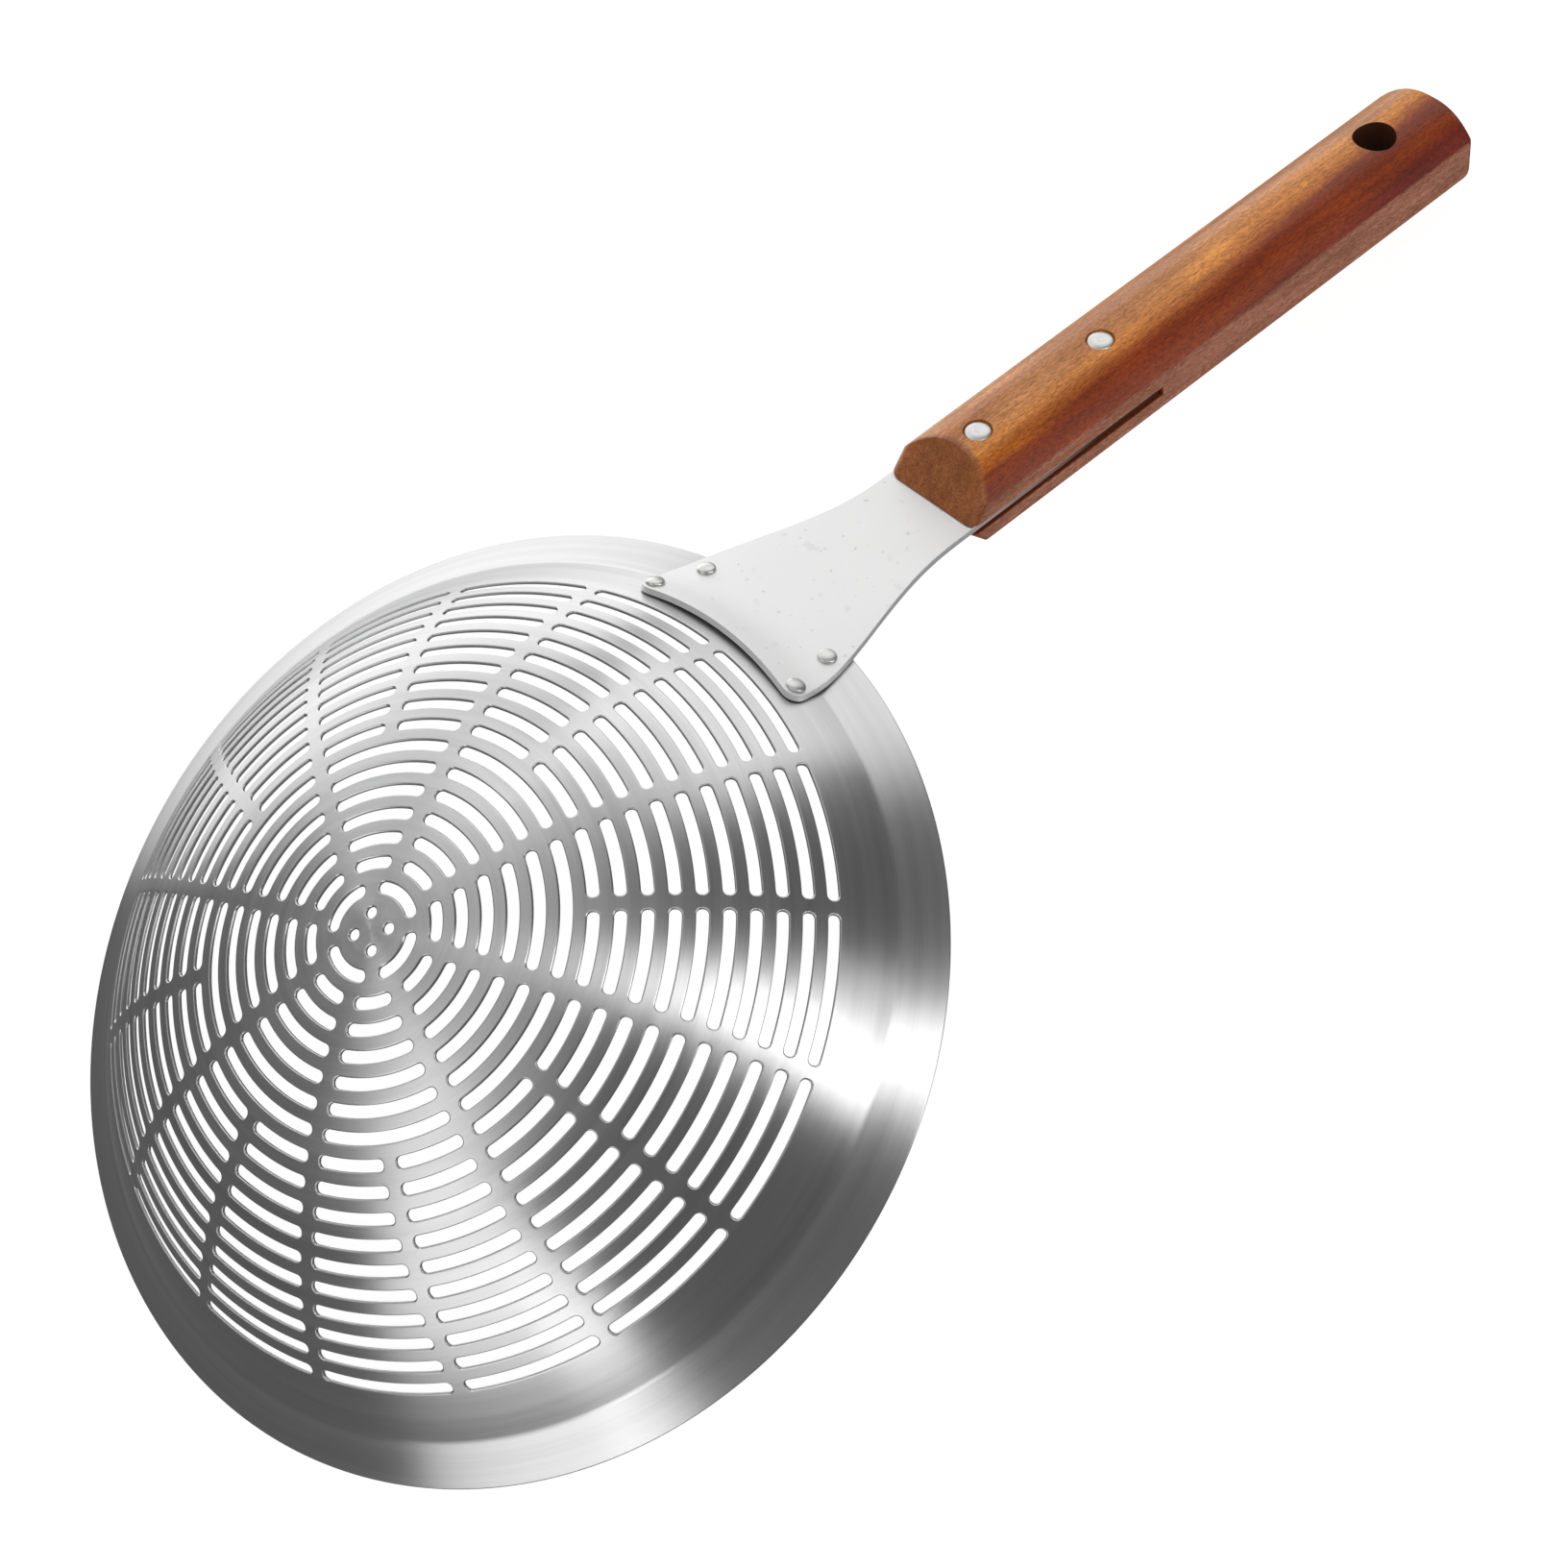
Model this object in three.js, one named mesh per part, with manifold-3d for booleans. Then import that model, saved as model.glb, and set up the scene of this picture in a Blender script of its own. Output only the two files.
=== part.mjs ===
// Slotted skimmer ladle: a pressed, slotted steel bowl, a riveted steel neck plate and a wooden
// handle on the plate's tang. Millimetres, +Z up. The ladle lies as it rests on a table, dome up,
// on the far edge of its rim and the end of its handle; the origin is under the middle of its box.
import * as THREE from 'three';
import { mergeGeometries, mergeVertices } from 'three/addons/utils/BufferGeometryUtils.js';
import Module from 'manifold-3d';

const wasm = await Module();
wasm.setup();
const DEG = Math.PI / 180;

// ---- driving dimensions -------------------------------------------------------------------
const GAP = 0.3;                 // air between two pieces that touch

const RIM_RADIUS = 130;          // outer edge of the flange, at z = 0 of the bowl
const DOME_HEIGHT = 64.7;        // top of the dome above the rim
const CROWN_RADIUS = 190;        // flatter middle of the dome
const CROWN_EDGE = 40;           // plan radius where the crown turns into the shoulder
const SHOULDER_RADIUS = 129.5;
const FLANGE_SLOPE = 35.4 * DEG;
const SHEET = 0.9;               // bowl sheet thickness
const BOWL_SEGMENTS = 32;

const PATTERN_TURN = -1.65 * DEG; // the slots are punched slightly off the handle's line
const SLOT_RINGS = 17;
const FIRST_RING = 11.6;         // distance of the first ring from the apex, along the sheet
const RING_PITCH = 6.75;         // distance from ring to ring, along the sheet
const SLOT_WIDTH = 3.2;
const SPOKE_WIDTH = 3.8;         // metal left between two slots of a ring
const INNER_SPOKE_WIDTH = 4;
const CENTRE_HOLE = { count: 4, diameter: 3, ring: 5, segments: 8 };

const PLATE = 2;                 // neck plate thickness
const PLATE_INNER_EDGE = 111.6;  // bowl radius at the plate's inner end
const EAR_HALF_WIDTH = 31;
const EAR_CORNER = 5;
const TANG_HALF_WIDTH = 15.9;
const FUNNEL = [104, 173];       // plan radii between which the plate narrows
const FLATTEN = [130, 168];      // plan radii between which its curve across dies out
const NECK_START = 145.3;        // plan radius where the neck starts to bend
const NECK_LENGTH = 32;          // length of the bend
const NECK_STEPS = 10;
const FLANGE_STEPS = 6;          // plate stations between the crease and the neck's bend
const HANDLE_SLOPE = 28.85 * DEG;

const BOWL_RIVETS = [
  { radius: 114, angle: 13.6 * DEG },
  { radius: 124.3, angle: 10.7 * DEG },
];
const RIVET_HEAD = { diameter: 5.3, height: 1.5 };
const RIVET_SHANK = 3;
const RIVET_TAIL = { diameter: 4.6, height: 0.9 };

const HANDLE_WIDTH = 33.3;
const HANDLE_THICKNESS = 28.6;
const HANDLE_FLAT = 11.7;        // height of the flat on each side
const ARCH_POWER = 2.5;          // 2 is a parabola; more gives fuller shoulders
const ARCH_STEPS = 20;
const HANDLE_FRONT = -19.3;      // nose of the handle, measured from its first rivet
const HANDLE_END = 188.6;
const NOSE_CUT = 11.3;           // length of the slanted cut above and below the nose
const NECK_TO_RIVET = 20.4;      // from the end of the neck's bend to the first rivet
const KERF = [-1.45, 1.6];       // saw slot that takes the tang, about the middle of the handle
const KERF_END = 55.2;
const TANG_END = 54;
const TANG_TOP = 1.3;            // tang's upper face above the middle of the handle
const END_ROUND = 4.4;
const HANG_HOLE = { at: 161.8, diameter: 12.6 };
const HANDLE_RIVETS = [0, 47.8];
const CUTLER = {                 // two-piece handle rivets
  head: 7.7, rim: 0.6, dome: 1.1, sleeve: 5, bore: 3.1, pin: 2.5, reach: 10, recess: 8.3, depth: 1.6,
};

// ---- materials ------------------------------------------------------------------------------
const BRUSHED = { color: 0xb9babb, roughness: 0.32, metalness: 1 };
const PLATE_STEEL = { color: 0xd9dadb, roughness: 0.38, metalness: 1 };
const RIVET_STEEL = { color: 0xe2e3e2, roughness: 0.2, metalness: 1 };
const WOOD = { color: 0x8a4a2a, roughness: 0.42, metalness: 0 };

// ---- solids -----------------------------------------------------------------------------------
function toManifold(geometry) {
  const plain = geometry.clone();
  plain.deleteAttribute('normal');
  plain.deleteAttribute('uv');
  const merged = mergeVertices(plain, 1e-4);
  const corners = merged.index.array;
  const triangles = [];
  for (let i = 0; i < corners.length; i += 3) {
    const [a, b, c] = corners.slice(i, i + 3);
    if (a !== b && b !== c && c !== a) triangles.push(a, b, c);
  }
  return new wasm.Manifold(new wasm.Mesh({
    numProp: 3,
    vertProperties: merged.attributes.position.array,
    triVerts: new Uint32Array(triangles),
  }));
}

function toGeometry(body) {
  const mesh = body.getMesh();
  const geometry = new THREE.BufferGeometry();
  geometry.setAttribute('position', new THREE.BufferAttribute(mesh.vertProperties, 3));
  geometry.setIndex(new THREE.BufferAttribute(mesh.triVerts, 1));
  return geometry;
}

function cut(body, cutters) {
  return cutters.reduce((left, cutter) => left.subtract(toManifold(cutter)), body);
}

function solid(geometry) {
  return toGeometry(toManifold(geometry));
}

function named(name, geometry, look) {
  const mesh = new THREE.Mesh(geometry, new THREE.MeshStandardMaterial(look));
  mesh.name = name;
  return mesh;
}

function uprightLathe(profile, segments) {
  const points = profile.map(([radius, height]) => new THREE.Vector2(radius, height));
  return new THREE.LatheGeometry(points, segments).rotateX(Math.PI / 2);
}

function uprightCylinder(diameter, from, to, segments) {
  const cylinder = new THREE.CylinderGeometry(diameter / 2, diameter / 2, to - from, segments);
  return cylinder.rotateX(Math.PI / 2).translate(0, 0, (from + to) / 2);
}

// ---- bowl section -------------------------------------------------------------------------------
// The outer line of the bowl is a crown arc, a shoulder arc tangent to it, a crease and a straight
// flange. `offset` moves the line outwards, so one function gives both faces of a sheet.
const crownTilt = Math.asin(CROWN_EDGE / CROWN_RADIUS);
const crownCentre = new THREE.Vector2(0, DOME_HEIGHT - CROWN_RADIUS);
const outward = (tilt) => new THREE.Vector2(Math.sin(tilt), Math.cos(tilt));
const shoulderCentre = outward(crownTilt)
  .multiplyScalar(CROWN_RADIUS - SHOULDER_RADIUS).add(crownCentre);
const rimEdge = new THREE.Vector2(RIM_RADIUS, 0);

function crownPoint(tilt, offset) {
  return outward(tilt).multiplyScalar(CROWN_RADIUS + offset).add(crownCentre);
}

function shoulderPoint(tilt, offset) {
  return outward(tilt).multiplyScalar(SHOULDER_RADIUS + offset).add(shoulderCentre);
}

function shoulderTilt(radius) {
  return Math.asin((radius - shoulderCentre.x) / SHOULDER_RADIUS);
}

function creaseTilt(offset) {
  const reach = outward(FLANGE_SLOPE).dot(rimEdge.clone().sub(shoulderCentre));
  return FLANGE_SLOPE + Math.acos((reach + offset) / (SHOULDER_RADIUS + offset));
}

function creasePoint(offset) {
  return shoulderPoint(creaseTilt(offset), offset);
}

function flangePoint(radius, offset) {
  const crease = creasePoint(offset);
  return new THREE.Vector2(radius, crease.y - (radius - crease.x) * Math.tan(FLANGE_SLOPE));
}

const CROWN_LENGTH = CROWN_RADIUS * crownTilt;

function domeTilt(distance) {
  if (distance < CROWN_LENGTH) return distance / CROWN_RADIUS;
  return crownTilt + (distance - CROWN_LENGTH) / SHOULDER_RADIUS;
}

function domePoint(distance, offset) {
  const tilt = domeTilt(distance);
  return tilt < crownTilt ? crownPoint(tilt, offset) : shoulderPoint(tilt, offset);
}

// ---- bowl ------------------------------------------------------------------------------------------
function bowlShell() {
  const bands = SLOT_RINGS + 1;
  const line = (offset) => {
    const points = [[0, DOME_HEIGHT + offset]];
    for (let band = 2; band <= bands; band += 2) {
      const point = domePoint(FIRST_RING + (band - 1.5) * RING_PITCH, offset);
      points.push([point.x, point.y]);
    }
    const crease = creasePoint(offset);
    points.push([crease.x, crease.y]);
    return points;
  };
  const edge = outward(FLANGE_SLOPE).multiplyScalar(-SHEET).add(rimEdge);
  const profile = [...line(-SHEET), [edge.x, edge.y], [rimEdge.x, rimEdge.y], ...line(0).reverse()];
  return uprightLathe(profile, BOWL_SEGMENTS);
}

function slotShape(ring) {
  const distance = FIRST_RING + ring * RING_PITCH;
  const radius = domePoint(distance, 0).x;
  const count = ring === 0 ? 4 : ring < 7 ? 8 : 16;
  const spoke = ring === 0 ? INNER_SPOKE_WIDTH : SPOKE_WIDTH;
  const halfWidth = (SLOT_WIDTH / 2) * Math.cos(domeTilt(distance));
  const half = Math.PI / count - spoke / 2 / radius;
  const straight = half - (0.8 * halfWidth) / radius;
  const steps = 32 / count;
  const points = [];
  const add = (r, a) => points.push(new THREE.Vector2(r * Math.cos(a), r * Math.sin(a)));
  for (let i = 0; i <= steps; i += 1) add(radius + halfWidth, straight * ((2 * i) / steps - 1));
  add(radius, half);
  for (let i = steps; i >= 0; i -= 1) add(radius - halfWidth, straight * ((2 * i) / steps - 1));
  add(radius, -half);
  return { shape: new THREE.Shape(points), count };
}

function slotCutters() {
  const depth = DOME_HEIGHT + 10;
  const cutters = [];
  for (let ring = 0; ring < SLOT_RINGS; ring += 1) {
    const { shape, count } = slotShape(ring);
    const phase = ring < 7 ? 0 : Math.PI / count;
    for (let i = 0; i < count; i += 1) {
      const prism = new THREE.ExtrudeGeometry(shape, { depth, bevelEnabled: false });
      cutters.push(prism.translate(0, 0, -5).rotateZ(phase + (i * 2 * Math.PI) / count));
    }
  }
  for (let i = 0; i < CENTRE_HOLE.count; i += 1) {
    const hole = uprightCylinder(CENTRE_HOLE.diameter, DOME_HEIGHT - 5, DOME_HEIGHT + 5,
      CENTRE_HOLE.segments).toNonIndexed();
    cutters.push(hole.translate(CENTRE_HOLE.ring, 0, 0).rotateZ((i + 0.5) * (Math.PI / 2)));
  }
  return mergeGeometries(cutters);
}

function makeBowl() {
  const slotted = toManifold(bowlShell()).subtract(toManifold(slotCutters()));
  const turned = toManifold(toGeometry(slotted).rotateZ(PATTERN_TURN));
  return toGeometry(cut(turned, rivetSeats().map((seat) => rivetBore(seat))));
}

// ---- neck plate ----------------------------------------------------------------------------------
function smooth(from, to, value) {
  return THREE.MathUtils.smootherstep(value, from, to);
}

// Stations along the plate from its inner end to the end of the tang; each gives the section point
// of a face that lies `offset` outside the bowl's outer line, and the plate's half width there.
function plateStations() {
  const stations = [];
  const start = shoulderTilt(PLATE_INNER_EDGE);
  const add = (length, at) => stations.push({ length, at });
  const onShoulder = (part) => (offset) => (
    shoulderPoint(THREE.MathUtils.lerp(start, creaseTilt(offset), part), offset));
  const steep = SHOULDER_RADIUS * (creaseTilt(0) - start);
  for (const part of [0, 0.02, 0.08, 0.18, 0.32, 0.5, 0.7, 1]) add(part * steep, onShoulder(part));
  const crease = creasePoint(0).x;
  for (let step = 1; step <= FLANGE_STEPS; step += 1) {
    const radius = THREE.MathUtils.lerp(crease, NECK_START, step / FLANGE_STEPS);
    add(steep + (radius - crease) / Math.cos(FLANGE_SLOPE), (offset) => {
      const foot = flangePoint(radius, 0);
      return outward(FLANGE_SLOPE).multiplyScalar(offset).add(foot);
    });
  }
  const bend = neckBend();
  const straight = steep + (NECK_START - crease) / Math.cos(FLANGE_SLOPE);
  for (let step = 1; step <= NECK_STEPS; step += 1) {
    const part = step / NECK_STEPS;
    add(straight + part * NECK_LENGTH, (offset) => bend.point(part, offset));
  }
  const tang = NECK_TO_RIVET + TANG_END;
  add(straight + NECK_LENGTH + tang, (offset) => bend.tangPoint(tang, offset));
  return stations;
}

function neckBend() {
  const turn = FLANGE_SLOPE - HANDLE_SLOPE;
  const radius = NECK_LENGTH / turn;
  const centre = outward(FLANGE_SLOPE).multiplyScalar(radius).add(flangePoint(NECK_START, 0));
  const point = (part, offset) => (
    outward(FLANGE_SLOPE - part * turn).multiplyScalar(offset - radius).add(centre));
  const tangPoint = (distance, offset) => {
    const run = new THREE.Vector2(Math.cos(HANDLE_SLOPE), -Math.sin(HANDLE_SLOPE));
    return run.multiplyScalar(distance).add(point(1, offset));
  };
  return { point, tangPoint };
}

function halfWidth(length, radius) {
  const body = THREE.MathUtils.lerp(EAR_HALF_WIDTH, TANG_HALF_WIDTH, smooth(...FUNNEL, radius));
  if (length >= EAR_CORNER) return body;
  return body - EAR_CORNER + Math.sqrt(EAR_CORNER ** 2 - (EAR_CORNER - length) ** 2);
}

function plateSlab() {
  const stations = plateStations();
  const across = 8;
  const slab = new THREE.BoxGeometry(1, 1, 1, stations.length - 1, across, 1);
  const place = slab.attributes.position;
  for (let i = 0; i < place.count; i += 1) {
    const station = stations[Math.round((place.getX(i) + 0.5) * (stations.length - 1))];
    const under = station.at(GAP);
    const point = place.getZ(i) > 0 ? station.at(GAP + PLATE) : under;
    const y = 2 * place.getY(i) * halfWidth(station.length, under.x);
    const curved = 1 - smooth(...FLATTEN, point.x);
    const sag = point.x - Math.sqrt(point.x ** 2 - y ** 2);
    place.setXYZ(i, point.x - curved * sag, y, point.y);
  }
  return slab;
}

function makePlate() {
  const tangHoles = HANDLE_RIVETS.map((at) => (
    uprightCylinder(CUTLER.sleeve + 2 * GAP, -5, 5, 16).translate(at, 0, 0).applyMatrix4(handleFrame())));
  const seatHoles = rivetSeats().map((seat) => rivetBore(seat));
  return toGeometry(cut(toManifold(plateSlab()), [...tangHoles, ...seatHoles]));
}

// ---- rivets through the plate and the bowl ---------------------------------------------------------
function sheetPoint(radius) {
  const crease = creasePoint(0).x;
  if (radius > crease) return { point: flangePoint(radius, 0), tilt: FLANGE_SLOPE };
  const tilt = shoulderTilt(radius);
  return { point: shoulderPoint(tilt, 0), tilt };
}

function rivetSeats() {
  const seats = [];
  for (const { radius, angle } of BOWL_RIVETS) {
    for (const side of [1, -1]) {
      const { point, tilt } = sheetPoint(radius);
      const turn = new THREE.Matrix4().makeRotationZ(side * angle);
      const lean = new THREE.Matrix4().makeRotationY(tilt).setPosition(point.x, 0, point.y);
      seats.push(turn.multiply(lean));
    }
  }
  return seats;
}

function rivetBore(seat) {
  return uprightCylinder(RIVET_SHANK + 2 * GAP, -6, 6, 12).applyMatrix4(seat);
}

function domeProfile(radius, base, height, steps) {
  const points = [];
  for (let i = 0; i <= steps; i += 1) {
    const angle = (i / steps) * 90 * DEG;
    points.push([radius * Math.cos(angle), base + height * Math.sin(angle)]);
  }
  points[steps][0] = 0;
  return points;
}

function makeBowlRivet() {
  const seat = GAP + PLATE + GAP;
  const facetSag = RIM_RADIUS * (1 - Math.cos(Math.PI / BOWL_SEGMENTS));
  const tail = -SHEET - GAP - facetSag;
  return uprightLathe([
    [0, tail - RIVET_TAIL.height], [RIVET_TAIL.diameter / 2 - 0.4, tail - RIVET_TAIL.height],
    [RIVET_TAIL.diameter / 2, tail - 0.4], [RIVET_TAIL.diameter / 2, tail],
    [RIVET_SHANK / 2, tail], [RIVET_SHANK / 2, seat], [RIVET_HEAD.diameter / 2, seat],
    ...domeProfile(RIVET_HEAD.diameter / 2, seat + 0.4, RIVET_HEAD.height - 0.4, 3),
  ], 12);
}

// ---- handle ----------------------------------------------------------------------------------------
// Its own frame: X along the handle from the first rivet, Z up through its thickness.
function handleFrame() {
  const seat = neckBend().tangPoint(NECK_TO_RIVET, GAP + PLATE - TANG_TOP);
  return new THREE.Matrix4().makeRotationY(HANDLE_SLOPE).setPosition(seat.x, 0, seat.y);
}

function handleSection() {
  const side = HANDLE_WIDTH / 2;
  const ridge = HANDLE_FLAT / 2;
  const rise = HANDLE_THICKNESS / 2 - ridge;
  const arch = [];
  for (let step = 0; step <= ARCH_STEPS; step += 1) {
    const y = side * (1 - (2 * step) / ARCH_STEPS);
    arch.push(new THREE.Vector2(y, ridge + rise * (1 - Math.abs(y / side) ** ARCH_POWER)));
  }
  const underside = arch.map((point) => new THREE.Vector2(-point.x, -point.y));
  return new THREE.Shape([...arch, ...underside]);
}

function handleSideView() {
  const top = HANDLE_THICKNESS / 2 + 1;
  const noseRun = NOSE_CUT / (HANDLE_THICKNESS / 2 - KERF[1]);
  const cutBack = (height) => HANDLE_FRONT + noseRun * height;
  return new THREE.Shape([
    new THREE.Vector2(HANDLE_FRONT, KERF[1]),
    new THREE.Vector2(KERF_END, KERF[1]),
    new THREE.Vector2(KERF_END, KERF[0]),
    new THREE.Vector2(HANDLE_FRONT, KERF[0]),
    new THREE.Vector2(cutBack(top + KERF[0]), -top),
    new THREE.Vector2(HANDLE_END + 1, -top),
    new THREE.Vector2(HANDLE_END + 1, top),
    new THREE.Vector2(cutBack(top - KERF[1]), top),
  ]);
}

function makeHandle() {
  const length = HANDLE_END - HANDLE_FRONT;
  const round = { bevelThickness: END_ROUND, bevelSize: END_ROUND, bevelOffset: -END_ROUND };
  const bar = new THREE.ExtrudeGeometry(handleSection(), {
    depth: length - 2 * END_ROUND, bevelSegments: 3, ...round,
  }).translate(0, 0, HANDLE_FRONT + END_ROUND);
  bar.applyMatrix4(new THREE.Matrix4().set(0, 0, 1, 0, 1, 0, 0, 0, 0, 1, 0, 0, 0, 0, 0, 1));
  const width = HANDLE_WIDTH + 4;
  const side = new THREE.ExtrudeGeometry(handleSideView(), { depth: width, bevelEnabled: false });
  side.translate(0, 0, -width / 2).rotateX(Math.PI / 2);
  const body = toManifold(bar).intersect(toManifold(side));
  const half = HANDLE_THICKNESS / 2;
  const holes = [uprightCylinder(HANG_HOLE.diameter, -half - 2, half + 2, 24)
    .translate(HANG_HOLE.at, 0, 0)];
  for (const at of HANDLE_RIVETS) {
    const bore = CUTLER.sleeve + 2 * GAP;
    holes.push(uprightCylinder(bore, -half - 2, half + 2, 16).translate(at, 0, 0));
    holes.push(uprightCylinder(CUTLER.recess, half - CUTLER.depth, half + 2, 24).translate(at, 0, 0));
    holes.push(uprightCylinder(CUTLER.recess, -half - 2, CUTLER.depth - half, 24).translate(at, 0, 0));
  }
  return toGeometry(cut(body, holes));
}

// A cutler's rivet is two pieces: a headed sleeve from below and a headed pin driven into it.
const headSeat = HANDLE_THICKNESS / 2 - CUTLER.depth + GAP;
const sleeveMouth = headSeat - 2 * GAP;

function makeSleeve() {
  const head = CUTLER.head / 2;
  const outer = CUTLER.sleeve / 2;
  const bore = CUTLER.bore / 2;
  const dome = domeProfile(head, headSeat + CUTLER.rim, CUTLER.dome, 3).reverse();
  return uprightLathe([
    ...dome.map(([radius, height]) => [radius, -height]),
    [head, -headSeat], [outer, -headSeat], [outer, sleeveMouth], [bore, sleeveMouth],
    [bore, -CUTLER.reach - GAP], [0, -CUTLER.reach - GAP],
  ], 16);
}

function makePin() {
  const head = CUTLER.head / 2;
  const shank = CUTLER.pin / 2;
  return uprightLathe([
    [0, -CUTLER.reach], [shank, -CUTLER.reach], [shank, headSeat], [head, headSeat],
    ...domeProfile(head, headSeat + CUTLER.rim, CUTLER.dome, 3),
  ], 16);
}

// ---- assembly ----------------------------------------------------------------------------------------
function makeLadle() {
  const ladle = new THREE.Group();
  ladle.add(named('bowl', makeBowl(), BRUSHED));
  ladle.add(named('neck_plate', makePlate(), PLATE_STEEL));
  const names = ['inner_left', 'inner_right', 'outer_left', 'outer_right'];
  rivetSeats().forEach((seat, i) => {
    const rivet = named(`bowl_rivet_${names[i]}`, solid(makeBowlRivet()), RIVET_STEEL);
    rivet.applyMatrix4(seat);
    ladle.add(rivet);
  });
  const handle = new THREE.Group();
  handle.applyMatrix4(handleFrame());
  handle.add(named('handle', makeHandle(), WOOD));
  HANDLE_RIVETS.forEach((at, i) => {
    const place = i === 0 ? 'front' : 'rear';
    for (const [kind, make] of [['sleeve', makeSleeve], ['pin', makePin]]) {
      const half = named(`handle_rivet_${kind}_${place}`, solid(make()), RIVET_STEEL);
      half.position.x = at;
      handle.add(half);
    }
  });
  ladle.add(handle);
  return ladle;
}

// The ladle rests on the far edge of its rim and on the lower edge of the handle's end.
function restTilt() {
  const far = outward(FLANGE_SLOPE).multiplyScalar(-SHEET);
  const heel = new THREE.Vector3(HANDLE_END - END_ROUND, 0, -HANDLE_THICKNESS / 2);
  heel.applyMatrix4(handleFrame());
  return Math.atan2(far.y - heel.z, heel.x + RIM_RADIUS + far.x);
}

const group = new THREE.Group();
const ladle = makeLadle();
ladle.rotation.y = -restTilt();
group.add(ladle);
group.updateMatrixWorld(true);
const box = new THREE.Box3().setFromObject(group, true);
ladle.position.set(-(box.min.x + box.max.x) / 2, -(box.min.y + box.max.y) / 2, -box.min.z);

export default group;
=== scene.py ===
"""The looks of a slotted skimmer ladle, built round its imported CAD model.

Lengths are in millimetres inside the shape code and turned into metres when a mesh is made.
The ladle frame has its origin in the middle of the bowl's rim, X towards the handle and Z up
through the dome. The handle frame has its origin on the first handle rivet, X along the handle.
"""
import math

import bmesh
import bpy
import numpy as np
from mathutils import Matrix, Vector
from mathutils.geometry import delaunay_2d_cdt


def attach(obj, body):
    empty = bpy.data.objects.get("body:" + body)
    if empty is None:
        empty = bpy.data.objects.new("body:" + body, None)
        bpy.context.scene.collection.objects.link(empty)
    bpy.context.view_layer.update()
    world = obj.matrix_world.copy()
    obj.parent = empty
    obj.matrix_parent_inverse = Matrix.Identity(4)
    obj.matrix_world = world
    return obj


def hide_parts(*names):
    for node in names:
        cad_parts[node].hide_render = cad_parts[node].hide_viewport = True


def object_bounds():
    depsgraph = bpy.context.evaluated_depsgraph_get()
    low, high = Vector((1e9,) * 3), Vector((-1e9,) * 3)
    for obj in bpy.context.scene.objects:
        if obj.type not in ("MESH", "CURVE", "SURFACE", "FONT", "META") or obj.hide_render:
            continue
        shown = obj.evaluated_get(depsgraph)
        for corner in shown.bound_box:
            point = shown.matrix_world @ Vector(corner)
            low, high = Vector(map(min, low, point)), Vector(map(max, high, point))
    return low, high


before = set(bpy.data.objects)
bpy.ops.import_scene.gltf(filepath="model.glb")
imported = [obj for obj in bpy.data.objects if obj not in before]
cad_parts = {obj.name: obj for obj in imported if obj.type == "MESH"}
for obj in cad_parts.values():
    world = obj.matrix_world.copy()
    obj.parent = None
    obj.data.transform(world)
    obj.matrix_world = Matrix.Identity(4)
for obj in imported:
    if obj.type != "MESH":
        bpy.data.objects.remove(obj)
cad_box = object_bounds()

MM = 0.001
TURN = 2 * math.pi

# ---- dimensions, the same as the CAD model's ----
GAP = 0.3
RIM_RADIUS = 130.0
DOME_HEIGHT = 64.7
CROWN_RADIUS = 190.0
CROWN_EDGE = 40.0
SHOULDER_RADIUS = 129.5
FLANGE_SLOPE = math.radians(35.4)
SHEET = 0.9

PATTERN_TURN = math.radians(-1.65)
SLOT_RINGS = 17
COARSE_RINGS = 7  # rings with eight slots or fewer
FIRST_RING = 11.6
RING_PITCH = 6.75
SLOT_WIDTH = 3.2
SPOKE_WIDTH = 3.8
INNER_SPOKE_WIDTH = 4.0
HOLE_RADIUS = 1.5
HOLE_RING = 5.0
CENTRE_PATCH = 1.2  # radius of the plain patch at the apex

PLATE = 2.0
PLATE_INNER_EDGE = 111.6
EAR_HALF_WIDTH = 31.0
EAR_CORNER = 5.0
TANG_HALF_WIDTH = 15.9
FUNNEL = (104.0, 173.0)
FLATTEN = (130.0, 168.0)
NECK_START = 145.3
NECK_LENGTH = 32.0
HANDLE_SLOPE = math.radians(28.85)
NECK_TO_RIVET = 20.4

BOWL_RIVETS = {"inner": (114.0, math.radians(13.6)), "outer": (124.3, math.radians(10.7))}
HANDLE_WIDTH = 33.3
HANDLE_THICKNESS = 28.6
HANDLE_FLAT = 11.7
ARCH_POWER = 2.5
HANDLE_FRONT = -19.3
HANDLE_END = 188.6
END_ROUND = 5.0
NOSE_CUT = 11.3
KERF = (-1.45, 1.6)
KERF_END = 55.2
TANG_END = 54.0
TANG_TOP = 1.3
HANG_HOLE = (161.8, 6.3)  # place along the handle and radius
HANDLE_RIVETS = {"front": 0.0, "rear": 47.8}
RECESS_RADIUS = 4.15
RECESS_DEPTH = 1.6
BOWL_RIVET_BORE = 1.8  # radii of the holes for the shanks
HANDLE_RIVET_BORE = 2.8
PIN_HEAD_TOP = 14.7  # top of a CAD pin's head above the middle of the handle

# ---- fineness of the visible meshes ----
FINE_STEPS = 256  # points round the bowl outside the coarse rings
COARSE_STEPS = 128
SIDE_STEPS = 5  # points along a cell's side
SLOT_ROUND = 0.42  # rounding of a slot's edge on the outside
SLOT_ROUND_INSIDE = 0.15
CREASE_FILLET = 0.9


# ---- mesh helpers ----
def outward(tilt):
    return np.array([math.sin(tilt), math.cos(tilt)])


def smoother(low, high, value):
    t = np.clip((value - low) / (high - low), 0.0, 1.0)
    return t * t * t * (t * (6 * t - 15) + 10)


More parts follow.
